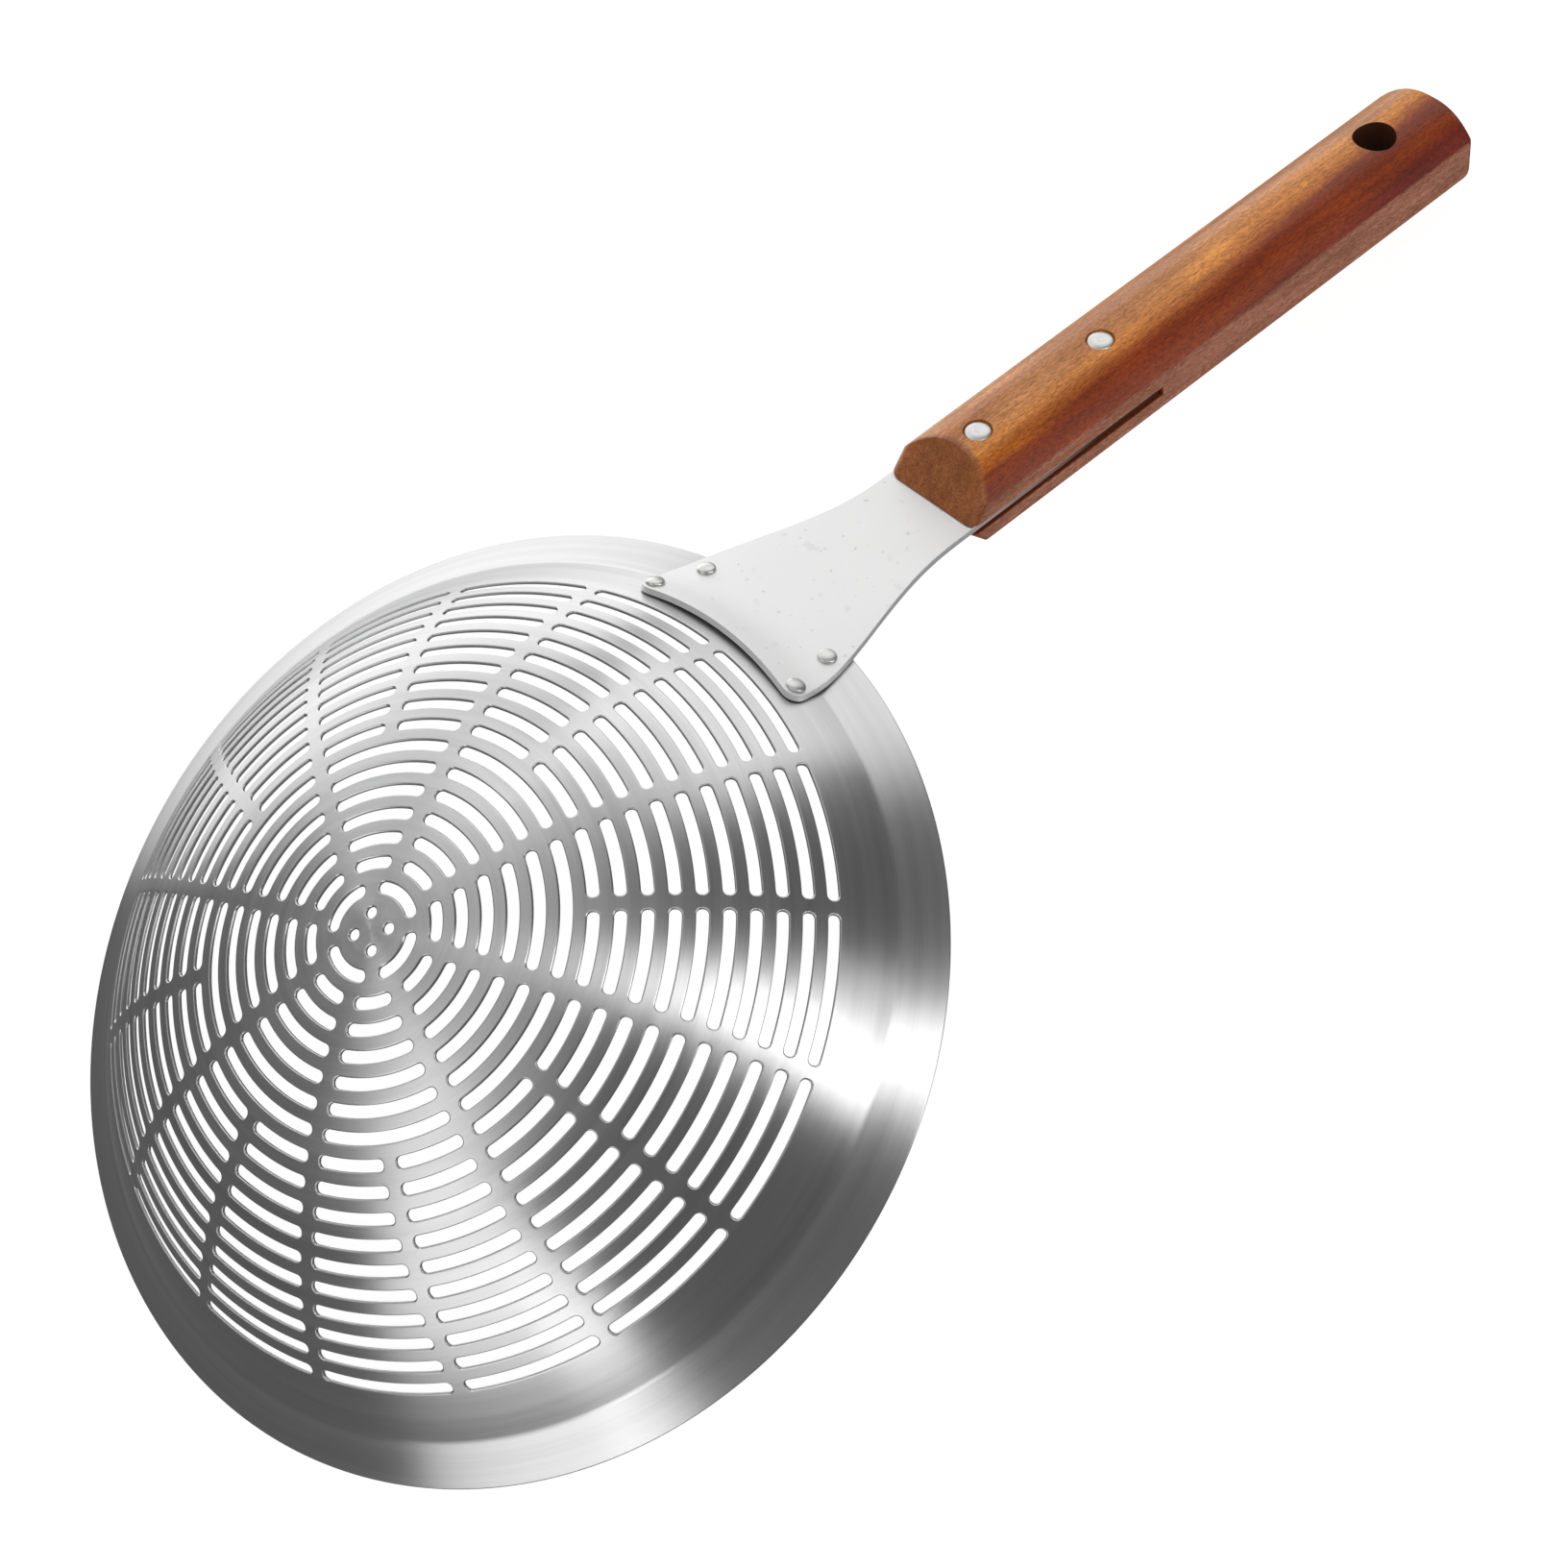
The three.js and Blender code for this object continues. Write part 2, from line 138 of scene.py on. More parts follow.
def make_object(name, points, faces, normals=None, matrix=None):
    """Points in millimetres. Normals, one for each point, are kept as custom normals."""
    mesh = bpy.data.meshes.new(name)
    mesh.from_pydata([tuple(p) for p in np.asarray(points) * MM], [], faces)
    mesh.update()
    mesh.polygons.foreach_set("use_smooth", [True] * len(mesh.polygons))
    if normals is not None:
        mesh.normals_split_custom_set_from_vertices([tuple(n) for n in normals])
    piece = bpy.data.objects.new(name, mesh)
    bpy.context.scene.collection.objects.link(piece)
    if matrix is not None:
        piece.matrix_world = matrix
    return piece


def weld(points, normals, faces):
    """Joins points that lie in one place."""
    keys = np.round(points, 4) + 0.0
    _, first, place = np.unique(keys, axis=0, return_index=True, return_inverse=True)
    place = place.ravel()
    welded = []
    for face in faces:
        corners = [int(place[i]) for i in face]
        kept = [c for i, c in enumerate(corners) if c != corners[i - 1]]
        if len(set(kept)) > 2:
            welded.append(kept)
    return points[first], normals[first], welded


def quad_strip(first, second):
    """Faces between two closed loops of point numbers of the same length."""
    count = len(first)
    return [(first[k], second[k], second[(k + 1) % count], first[(k + 1) % count]) for k in range(count)]


def lathe(profile, steps):
    """A closed solid turned from (radius, height) points that start and end on the axis."""
    points = []
    rings = []
    for radius, height in profile:
        if radius == 0:
            rings.append([len(points)])
            points.append((0, 0, height))
            continue
        rings.append(list(range(len(points), len(points) + steps)))
        for k in range(steps):
            angle = TURN * k / steps
            points.append((radius * math.cos(angle), radius * math.sin(angle), height))
    faces = []
    for low, high in zip(rings, rings[1:]):
        if len(low) == 1:
            faces += [(low[0], high[(k + 1) % steps], high[k]) for k in range(steps)]
        elif len(high) == 1:
            faces += [(low[k], low[(k + 1) % steps], high[0]) for k in range(steps)]
        else:
            faces += [(low[k], low[(k + 1) % steps], high[(k + 1) % steps], high[k]) for k in range(steps)]
    return points, faces


def weight_normals(piece):
    weighted = piece.modifiers.new("weighted_normals", "WEIGHTED_NORMAL")
    weighted.weight = 80
    weighted.keep_sharp = False


def settle(piece, node, material):
    """Puts a piece in the row frame, in place of its CAD node."""
    piece.data.transform(piece.matrix_world)
    piece.matrix_world = Matrix.Identity(4)
    for vertex in piece.data.vertices:  # the CAD's facets cut up to 0.15 mm off its curves
        vertex.co = [min(max(value, low), high) for value, low, high in zip(vertex.co, *cad_box)]
    piece.data.materials.clear()
    piece.data.materials.append(material)
    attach(piece, "root")
    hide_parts(node)


# ---- places taken from the frame ----
def ladle_frames():
    """The handle frame and the ladle frame, as matrices, from where the two CAD pins stand."""
    pins = []
    for place in HANDLE_RIVETS:
        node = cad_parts[f"handle_rivet_pin_{place}"]
        pins.append(np.array([v.co for v in node.data.vertices]))
    along = pins[1].mean(0) - pins[0].mean(0)
    along /= np.linalg.norm(along)
    up = np.array([-along[2], 0.0, along[0]])
    seat = along * (pins[0].mean(0) @ along) + up * ((pins[0] @ up).max() - PIN_HEAD_TOP * MM)
    slope = math.atan2(-along[2], along[0])
    handle = Matrix.Translation(Vector(seat)) @ Matrix.Rotation(slope, 4, "Y")
    x, z, tilt = NECK.at(NECK.length - TANG_END)
    lift = GAP + PLATE - TANG_TOP
    local = Vector((x + lift * math.sin(tilt), 0, z + lift * math.cos(tilt))) * MM
    inside = Matrix.Translation(local) @ Matrix.Rotation(HANDLE_SLOPE, 4, "Y")
    return handle, handle @ inside.inverted()


# ---- the bowl's section ----
CROWN_TILT = math.asin(CROWN_EDGE / CROWN_RADIUS)
CROWN_LENGTH = CROWN_RADIUS * CROWN_TILT
CROWN_CENTRE = np.array([0.0, DOME_HEIGHT - CROWN_RADIUS])
SHOULDER_CENTRE = CROWN_CENTRE + (CROWN_RADIUS - SHOULDER_RADIUS) * outward(CROWN_TILT)
RIM = np.array([RIM_RADIUS, 0.0])
CREASE_TILT = FLANGE_SLOPE + math.acos(
    outward(FLANGE_SLOPE) @ (RIM - SHOULDER_CENTRE) / SHOULDER_RADIUS
)
CREASE = SHOULDER_CENTRE + SHOULDER_RADIUS * outward(CREASE_TILT)


def dome_section(distance):
    """Radius, height and tilt at distances along the outer line from the apex."""
    distance = np.asarray(distance, float)
    on_crown = distance < CROWN_LENGTH
    on_shoulder = CROWN_TILT + (distance - CROWN_LENGTH) / SHOULDER_RADIUS
    tilt = np.where(on_crown, distance / CROWN_RADIUS, on_shoulder)
    bend = np.where(on_crown, CROWN_RADIUS, SHOULDER_RADIUS)
    centre_r = np.where(on_crown, CROWN_CENTRE[0], SHOULDER_CENTRE[0])
    centre_z = np.where(on_crown, CROWN_CENTRE[1], SHOULDER_CENTRE[1])
    return centre_r + bend * np.sin(tilt), centre_z + bend * np.cos(tilt), tilt


def dome_points(distance, angle, depth):
    """Points on the dome and the outward, round-about and downhill directions there."""
    radius, height, tilt = dome_section(distance)
    cos, sin = np.cos(angle), np.sin(angle)
    normal = np.stack([np.sin(tilt) * cos, np.sin(tilt) * sin, np.cos(tilt)], -1)
    about = np.stack([-sin, cos, np.zeros_like(cos)], -1)
    down = np.stack([np.cos(tilt) * cos, np.cos(tilt) * sin, -np.sin(tilt)], -1)
    base = np.stack([radius * cos, radius * sin, height], -1)
    return base - np.asarray(depth)[..., None] * normal, normal, about, down


def cell_border(low, high, middle, half_angle, edge_steps, outer_steps):
    """A cell's border as (distance, angle) points, the inner edge first."""
    left, right = middle - half_angle, middle + half_angle
    corners = [(low, left), (low, right), (high, right), (high, left)]
    border = []
    for side, steps in enumerate((edge_steps, SIDE_STEPS, outer_steps, SIDE_STEPS)):
        ends = list(zip(corners[side], corners[(side + 1) % 4]))
        border += [[a + (b - a) * i / steps for a, b in ends] for i in range(steps)]
    return np.array(border)


def slot_outline(half_width, half_length, corner, edge_steps, outer_steps):
    """Centres of the corner arcs and directions from them, matched to a cell's border."""
    x, y = half_length - corner, half_width - corner
    corners = [(-x, -y), (x, -y), (x, y), (-x, y)]
    steps = [edge_steps, SIDE_STEPS, outer_steps, SIDE_STEPS]
    centres = []
    angles = []
    for side, count in enumerate(steps):
        start, end = np.array(corners[side]), np.array(corners[(side + 1) % 4])
        middle = math.radians(90 * side - 90)
        for i in range(count):
            if x <= 0:
                centres.append(start * 0)
                angles.append(middle + math.radians(90) * (i / count - 0.5))
                continue
            part = min(max((i - 2) / max(count - 4, 1), 0), 1)
            centres.append(start + (end - start) * part)
            bend = min(i - 2, 0) + max(i - (count - 2), 0)
            angles.append(middle + math.radians(22.5) * bend)
    directions = np.stack([np.cos(angles), np.sin(angles)], -1)
    return np.array(centres), directions


class MeshParts:
    """Collects points with normals, and faces, before they are welded into one mesh."""

    def __init__(self):
        self.points = []
        self.normals = []
        self.faces = []
        self.count = 0

    def add(self, points, normals):
        self.points.append(points)
        self.normals.append(normals)
        numbers = list(range(self.count, self.count + len(points)))
        self.count += len(points)
        return numbers

    def welded(self):
        return weld(np.vstack(self.points), np.vstack(self.normals), self.faces)


def add_cell(parts, border, centre, outline, corner, place):
    """A cell of sheet with one hole in it, seen as loops from its border to the hole and back."""
    centres, directions = outline
    loops = []
    skin, normal, _, _ = dome_points(border[:, 0], border[:, 1], 0.0 * border[:, 0])
    loops.append((skin, normal))
    back = [(SHEET, SLOT_ROUND_INSIDE, a, -1.0) for a in (90, 45, 0)]
    front = [(0.0, SLOT_ROUND, a, 1.0) for a in (0, 22.5, 45, 67.5, 90)]
    for level, rounding, angle, side in front + back:
        a = math.radians(angle)
        reach = corner + rounding * (1 - math.sin(a))
        local = centres + reach * directions
        distance, round_about = place(centre, local)
        depth = level + side * rounding * (1 - math.cos(a))
        points, normal, about, down = dome_points(distance, round_about, depth + 0 * distance)
        into = -(directions[:, :1] * about + directions[:, 1:] * down)
        loops.append((points, side * math.cos(a) * normal + math.sin(a) * into))
    skin, normal, _, _ = dome_points(border[:, 0], border[:, 1], SHEET + 0.0 * border[:, 0])
    loops.append((skin, -normal))
    numbers = [parts.add(points, normals) for points, normals in loops]
    for first, second in zip(numbers, numbers[1:]):
        parts.faces += quad_strip(first, second)


def place_on_ring(centre, local):
    distance, angle = centre
    radius = dome_section(distance)[0]
    return distance + local[:, 1], angle + local[:, 0] / radius


def place_by_apex(centre, local):
    distance, angle = centre
    reach = distance + local[:, 1]
    return np.hypot(reach, local[:, 0]), angle + np.arctan2(local[:, 0], reach)


def add_slots(parts):
    for ring in range(SLOT_RINGS):
        middle = FIRST_RING + ring * RING_PITCH
        count = 4 if ring == 0 else 8 if ring < COARSE_RINGS else 16
        phase = 0.0 if ring < COARSE_RINGS else math.pi / count
        edge_steps = (COARSE_STEPS if ring < COARSE_RINGS else FINE_STEPS) // count
        outer_steps = (COARSE_STEPS if ring < COARSE_RINGS - 1 else FINE_STEPS) // count
        spoke = INNER_SPOKE_WIDTH if ring == 0 else SPOKE_WIDTH
        radius = float(dome_section(middle)[0])
        half_length = radius * math.pi / count - spoke / 2
        corner = SLOT_WIDTH / 2 - (0.05 if ring < COARSE_RINGS else 0.2)
        outline = slot_outline(SLOT_WIDTH / 2, half_length, corner, edge_steps, outer_steps)
        for i in range(count):
            angle = phase + TURN * i / count
            border = cell_border(middle - RING_PITCH / 2, middle + RING_PITCH / 2, angle,
                                 math.pi / count, edge_steps, outer_steps)
            add_cell(parts, border, (middle, angle), outline, corner, place_on_ring)


def add_centre(parts):
    inner, outer = CENTRE_PATCH, FIRST_RING - RING_PITCH / 2
    steps = COARSE_STEPS // 4
    outline = slot_outline(HOLE_RADIUS, HOLE_RADIUS, HOLE_RADIUS, steps, steps)
    for i in range(4):
        angle = (i + 0.5) * TURN / 4
        border = cell_border(inner, outer, angle, TURN / 8, steps, steps)
        add_cell(parts, border, (HOLE_RING, angle), outline, HOLE_RADIUS, place_by_apex)
    angles = TURN * np.arange(COARSE_STEPS) / COARSE_STEPS
    for depth, side in ((0.0, 1.0), (SHEET, -1.0)):
        points, normals, _, _ = dome_points(inner + 0 * angles, angles, depth + 0 * angles)
        ring = parts.add(points, side * normals)
        apex = parts.add(np.array([[0, 0, DOME_HEIGHT - depth]]), np.array([[0, 0, side]]))[0]
        for k in range(COARSE_STEPS):
            pair = (ring[k], ring[(k + 1) % COARSE_STEPS])
            parts.faces.append((apex, *pair) if side > 0 else (apex, pair[1], pair[0]))


def skirt_rows():
    """Rows of (radius, height, tilt) from the last ring of slots down to the rim."""
    rows = []
    start = FIRST_RING + (SLOT_RINGS - 0.5) * RING_PITCH
    end = CROWN_LENGTH + SHOULDER_RADIUS * (CREASE_TILT - CROWN_TILT) - CREASE_FILLET
    for distance in np.linspace(start, end, 3):
        rows.append([float(v) for v in dome_section(distance)])
    down = np.array([math.cos(FLANGE_SLOPE), -math.sin(FLANGE_SLOPE)])
    before = np.array(rows[-1][:2])
    after = CREASE + CREASE_FILLET * down
    tilt = rows[-1][2]
    for t in (0.2, 0.4, 0.6, 0.8, 1.0):
        point = (1 - t) ** 2 * before + 2 * t * (1 - t) * CREASE + t * t * after
        rows.append([*point, tilt + (FLANGE_SLOPE - tilt) * t])
    edge = RIM - SHEET / 2 * down
    for t in (0.25, 0.5, 0.75, 1.0):
        rows.append([*(after + t * (edge - after)), FLANGE_SLOPE])
    return rows


def add_skirt(parts):
    angles = TURN * np.arange(FINE_STEPS) / FINE_STEPS
    cos, sin = np.cos(angles), np.sin(angles)

    def ring(radius, height, tilt):
        points = np.stack([radius * cos, radius * sin, height + 0 * cos], -1)
        normals = np.stack([math.sin(tilt) * cos, math.sin(tilt) * sin, math.cos(tilt) + 0 * cos], -1)
        return parts.add(points, normals)

    rows = skirt_rows()
    rings = [ring(*row) for row in rows]
    middle = np.array(rows[-1][:2]) - SHEET / 2 * outward(FLANGE_SLOPE)
    for angle in (22.5, 45, 67.5, 90, 112.5, 135, 157.5):
        tilt = FLANGE_SLOPE + math.radians(angle)
        rings.append(ring(*(middle + SHEET / 2 * outward(tilt)), tilt))
    for radius, height, tilt in reversed(rows):
        inner = np.array([radius, height]) - SHEET * outward(tilt)
        rings.append(ring(*inner, tilt + math.pi))
    for first, second in zip(rings, rings[1:]):
        parts.faces += quad_strip(first, second)


def make_bowl(matrix):
    parts = MeshParts()
    add_centre(parts)
    add_slots(parts)
    add_skirt(parts)
    points, normals, faces = parts.welded()
    turned = matrix @ Matrix.Rotation(PATTERN_TURN, 4, "Z")
    return make_object("bowl_shell", points, faces, normals, turned)


# ---- the neck plate ----
class NeckPath:
    """The bowl's outer line from the plate's inner end, and on along the neck and the tang."""

    FOLD = 55.0  # radius of the soft bend over the crease
    STEP = 0.02

    def __init__(self):
        start = math.asin((PLATE_INNER_EDGE - SHOULDER_CENTRE[0]) / SHOULDER_RADIUS)
        run = np.array([math.cos(FLANGE_SLOPE), -math.sin(FLANGE_SLOPE)])
        foot = RIM + self.FOLD * outward(FLANGE_SLOPE) - SHOULDER_CENTRE
        reach = SHOULDER_RADIUS + self.FOLD
        back = foot @ run - math.sqrt((foot @ run) ** 2 - foot @ foot + reach ** 2)
        fold_centre = foot - back * run
        first_tilt = math.atan2(fold_centre[0], fold_centre[1])
        fold = first_tilt - FLANGE_SLOPE
        turn = FLANGE_SLOPE - HANDLE_SLOPE
        flat = back - (RIM_RADIUS - NECK_START) / math.cos(FLANGE_SLOPE)
        spans = [
            (SHOULDER_RADIUS * (first_tilt - start), 1 / SHOULDER_RADIUS),
            (self.FOLD * fold, -1 / self.FOLD),
            (flat, 0.0),
            (NECK_LENGTH, -turn / NECK_LENGTH),
            (NECK_TO_RIVET + TANG_END, 0.0),
        ]
        tilts, lengths = [np.array([start])], [np.array([0.0])]
        for length, curvature in spans:
            count = max(round(length / self.STEP), 1)
            steps = length / count * np.arange(1, count + 1)
            tilts.append(tilts[-1][-1] + curvature * steps)
            lengths.append(lengths[-1][-1] + steps)
        self.lengths = np.concatenate(lengths)
        self.tilts = np.concatenate(tilts)
        middle = (self.tilts[1:] + self.tilts[:-1]) / 2
        step = np.diff(self.lengths)
        point = SHOULDER_CENTRE + SHOULDER_RADIUS * outward(start)
        self.x = point[0] + np.concatenate([[0.0], np.cumsum(step * np.cos(middle))])
        self.z = point[1] - np.concatenate([[0.0], np.cumsum(step * np.sin(middle))])
        self.length = float(self.lengths[-1])

    def at(self, length):
        """X, Z and tilt at lengths along the path."""
        return tuple(np.interp(length, self.lengths, line) for line in (self.x, self.z, self.tilts))


NECK = NeckPath()
PLATE_ROUND = 0.22
PLATE_GRID = 2.6
END_LIFT = 0.7  # the middle of the plate's inner end stands off the bowl
END_LIFT_REACH = 14.0


def plate_half_width(length):
    x = NECK.at(length)[0]
    return EAR_HALF_WIDTH + (TANG_HALF_WIDTH - EAR_HALF_WIDTH) * smoother(*FUNNEL, x)


def plate_point(length, y, offset):
    """A point `offset` above the bowl's outer line, with the plate's normal there."""
    x, z, tilt = NECK.at(length)
    near_end = np.clip(1 - length / END_LIFT_REACH, 0, 1) ** 1.5
    offset = offset + END_LIFT * near_end * np.clip(1 - (y / 25) ** 2, 0, 1)
    x = x + offset * np.sin(tilt)
    z = z + offset * np.cos(tilt)
    curved = 1 - smoother(*FLATTEN, x)
    sag = x - np.sqrt(x * x - y * y)
    turn = curved * np.arcsin(y / x)
    normal = np.stack([np.sin(tilt) * np.cos(turn), np.sin(tilt) * np.sin(turn), np.cos(tilt)], -1)
    return np.stack([x - curved * sag, y + 0 * x, z], -1), normal


def plate_outline():
    """The plate's outline as (length, y) points with outward directions."""
    corner = []
    for i in range(9):
        angle = math.radians(90 * i / 8)
        length = EAR_CORNER * (1 - math.cos(angle))
        width = float(plate_half_width(length)) - EAR_CORNER * (1 - math.sin(angle))
        corner.append((length, width))
    side = [(length, float(plate_half_width(length)))
            for length in np.arange(EAR_CORNER + 1.5, NECK.length - 0.5, 2.2)]
    side.append((NECK.length, TANG_HALF_WIDTH))
    right = corner + side
    across = [(0.0, y) for y in np.linspace(-corner[0][1], corner[0][1], 25)[1:-1]]
    tail = [(NECK.length, y) for y in np.linspace(TANG_HALF_WIDTH, -TANG_HALF_WIDTH, 9)[1:-1]]
    left = [(length, -y) for length, y in reversed(right)]
    loop = np.array(across + right + tail + left)
    ahead = np.roll(loop, -1, 0) - np.roll(loop, 1, 0)
    out = np.stack([-ahead[:, 1], ahead[:, 0]], -1)
    return loop, out / np.linalg.norm(out, axis=1)[:, None]


def circle(centre, radius, steps):
    angles = TURN * np.arange(steps) / steps
    return centre + radius * np.stack([np.cos(angles), np.sin(angles)], -1)


def plate_holes():
    """Holes for the rivets' shanks, in (length, y)."""
    holes = []
    for radius, angle in BOWL_RIVETS.values():
        length = float(np.interp(radius, NECK.x, NECK.lengths))
        holes += [(length, radius * math.sin(side * angle), BOWL_RIVET_BORE)
                  for side in (1, -1)]
    first = NECK.length - TANG_END
    holes += [(first + at, 0.0, HANDLE_RIVET_BORE) for at in HANDLE_RIVETS.values()]
    return holes


def fill_plan(outline, holes):
    """Triangles over a plan, with a grid of points inside it. Outline points come first."""
    points = [tuple(p) for p in outline]
    edges = [(i, (i + 1) % len(outline)) for i in range(len(outline))]
    loops = []
    for loop in holes:
        start = len(points)
        points += [tuple(p) for p in loop]
        loops.append(list(range(start, start + len(loop))))
        edges += [(start + i, start + (i + 1) % len(loop)) for i in range(len(loop))]
    low, high = outline.min(0), outline.max(0)
    border = np.vstack([outline, *holes])
    for u in np.arange(low[0] + 1.1, high[0], PLATE_GRID):
        for v in np.arange(low[1] + 1.1, high[1], PLATE_GRID):
            inside = abs(v) < float(plate_half_width(u)) - 1.2
            clear = np.hypot(*(border - (u, v)).T).min() > 1.1
            if inside and clear:
                points.append((u, v))
    made = delaunay_2d_cdt([Vector(p) for p in points], edges, [], 0, 1e-6, True)
    kept = [np.array([v.x, v.y]) for v in made[0]]
    source = [ids[0] if ids else None for ids in made[3]]
    triangles = []
    for face in made[2]:
        corners = [kept[i] for i in face]
        u, v = sum(corners) / len(corners)
        in_hole = any(math.hypot(*(np.mean(h, 0) - (u, v))) < np.ptp(h[:, 0]) / 2 - 1e-3 for h in holes)
        if in_hole or not inside_loop(outline, u, v):
            continue
        triangles.append([source[i] for i in face])
    return np.array(points), triangles, loops


def inside_loop(loop, u, v):
    ahead = np.roll(loop, -1, 0)
    crosses = (loop[:, 1] > v) != (ahead[:, 1] > v)
    with np.errstate(divide="ignore", invalid="ignore"):
        at = loop[:, 0] + (v - loop[:, 1]) / (ahead[:, 1] - loop[:, 1]) * (ahead[:, 0] - loop[:, 0])
    return bool((crosses & (u < at)).sum() % 2)


def make_plate(matrix):
    outline, out = plate_outline()
    holes = [circle(np.array([u, v]), radius, 24) for u, v, radius in plate_holes()]
    plan, triangles, hole_loops = fill_plan(outline - PLATE_ROUND * out, holes)
    count = len(outline)
    parts = MeshParts()

    def directions(tip, reach):
        """Unit directions in space from the plan's outward ones."""
        base = plate_point(outline[:, 0], outline[:, 1], tip)[0]
        ahead = plate_point(outline[:, 0] + 0.2 * reach[:, 0], outline[:, 1] + 0.2 * reach[:, 1], tip)[0]
        side = ahead - base
        return side / np.linalg.norm(side, axis=1)[:, None]

    faces_up = plate_point(plan[:, 0], plan[:, 1], GAP + PLATE + 0 * plan[:, 0])
    faces_down = plate_point(plan[:, 0], plan[:, 1], GAP + 0 * plan[:, 0])
    top = parts.add(faces_up[0], faces_up[1])
    bottom = parts.add(faces_down[0], -faces_down[1])
    loops = [top[:count]]
    for side, angles in ((1.0, (30, 60, 90)), (-1.0, (90, 60, 30))):
        for angle in angles:
            a = math.radians(angle)
            spot = outline - PLATE_ROUND * (1 - math.sin(a)) * out
            level = PLATE_ROUND * (1 - math.cos(a))
            offset = GAP + (PLATE - level if side > 0 else level)
            points, normal = plate_point(spot[:, 0], spot[:, 1], offset + 0 * spot[:, 0])
            sideways = directions(offset, -out)
            loops.append(parts.add(points, side * math.cos(a) * normal - math.sin(a) * sideways))
    loops.append(bottom[:count])
    for first, second in zip(loops, loops[1:]):
        parts.faces += quad_strip(first, second)
    for loop in hole_loops:
        parts.faces += quad_strip([bottom[i] for i in loop], [top[i] for i in loop])
    for a, b, c in triangles:
        parts.faces.append((top[a], top[b], top[c]))
        parts.faces.append((bottom[a], bottom[c], bottom[b]))
    points, normals = np.vstack(parts.points), np.vstack(parts.normals)
    piece = make_object("neck_plate_sheet", points, parts.faces, None, matrix)
    tidy_normals(piece)
    piece.data.normals_split_custom_set_from_vertices([tuple(n) for n in normals])
    return piece


def tidy_normals(piece):
    """Turns every face of a closed mesh outwards."""
    mesh = bmesh.new()
    mesh.from_mesh(piece.data)
    bmesh.ops.recalc_face_normals(mesh, faces=mesh.faces)
    mesh.to_mesh(piece.data)
    mesh.free()


# ---- rivets through the plate and the bowl ----
def dome_profile(radius, base, height, steps=6):
    profile = []
    for i in range(steps + 1):
        angle = math.radians(90 * i / steps)
        profile.append((radius * math.cos(angle), base + height * math.sin(angle)))
    profile[-1] = (0, base + height)
    return profile


def make_bowl_rivet(place, side, ladle):
    radius, angle = BOWL_RIVETS[place]
    length = float(np.interp(radius, NECK.x, NECK.lengths))
    x, z, tilt = (float(v) for v in NECK.at(length))
    seat = GAP + PLATE + 0.02
    tail = -SHEET - GAP - 0.7
    profile = [(0, tail - 0.9), (1.7, tail - 0.85), (2.1, tail - 0.65), (2.3, tail - 0.35), (2.3, tail),
               (1.5, tail), (1.5, seat), (2.5, seat), (2.62, seat + 0.12), (2.64, seat + 0.35)]
    profile += dome_profile(2.55, seat + 0.5, 0.75)
    points, faces = lathe(profile, 40)
    turn = 1 if side == "left" else -1
    local = Matrix.Rotation(turn * angle, 4, "Z") @ Matrix.Translation(Vector((x, 0, z)) * MM)
    local = local @ Matrix.Rotation(tilt, 4, "Y")
    piece = make_object(f"bowl_rivet_head_{place}_{side}", points, faces, None, ladle @ local)
    tidy_normals(piece)
    soften(piece, 0.1, 50)
    return piece


def soften(piece, width, angle, segments=2):
    """Rounds the edges that turn more than `angle` degrees, and weights the normals."""
    bevel = piece.modifiers.new("rounded_edges", "BEVEL")
    bevel.width = width * MM
    bevel.segments = segments
    bevel.limit_method = "ANGLE"
    bevel.angle_limit = math.radians(angle)
    bevel.use_clamp_overlap = True
    weight_normals(piece)


# ---- handle ----
RIDGE_ROUND = 2.6  # rounding where the arched top meets the flat sides
FACET_ROUND = 2.2  # rounding round the nose's slanted facets
NOSE_CORNERS = {1: 4.6, -1: 3.0}  # rounding of the nose's left and right corners, in plan
HANG_HOLE_ROUND = 0.9
RECESS_ROUND = 0.2
KERF_ROUND = 0.3


def handle_section():
    """The handle's outline as (y, z) points, from the top round by the left side."""
    side = HANDLE_WIDTH / 2
    ridge = HANDLE_FLAT / 2
    rise = HANDLE_THICKNESS / 2 - ridge

    def arch(y):
        return np.array([y, ridge + rise * (1 - (y / side) ** ARCH_POWER)])

    slope = math.atan(rise * ARCH_POWER / side)
    trim = RIDGE_ROUND * math.tan((math.pi / 2 - slope) / 2)
    last = side - trim * math.cos(slope)
    quarter = [arch(y) for y in np.linspace(0, last, 15)]
    begin, corner, end = quarter[-1], np.array([side, ridge]), np.array([side, ridge - trim])
    quarter += [(1 - t) ** 2 * begin + 2 * t * (1 - t) * corner + t * t * end
                for t in (0.2, 0.4, 0.6, 0.8, 1.0)]
    quarter += [np.array([side, z]) for z in ((ridge - trim) * 0.62, KERF[1], 0.0)]
    lower = [np.array([y, -z]) for y, z in reversed(quarter[:-1])]
    half = quarter + lower
    return np.array(half + [np.array([-y, z]) for y, z in reversed(half[1:-1])])


def nose_front(y, z):
    """Where the nose begins: slanted above and below the saw slot, and rounded in plan."""
    run = NOSE_CUT / (HANDLE_THICKNESS / 2 - KERF[1])
    x = HANDLE_FRONT + run * max(z - KERF[1], KERF[0] - z, 0.0)
    corner = NOSE_CORNERS[1 if y > 0 else -1]
    into = min(max(abs(y) - HANDLE_WIDTH / 2 + corner, 0.0), corner)
    return x + corner - math.sqrt(corner ** 2 - into ** 2)


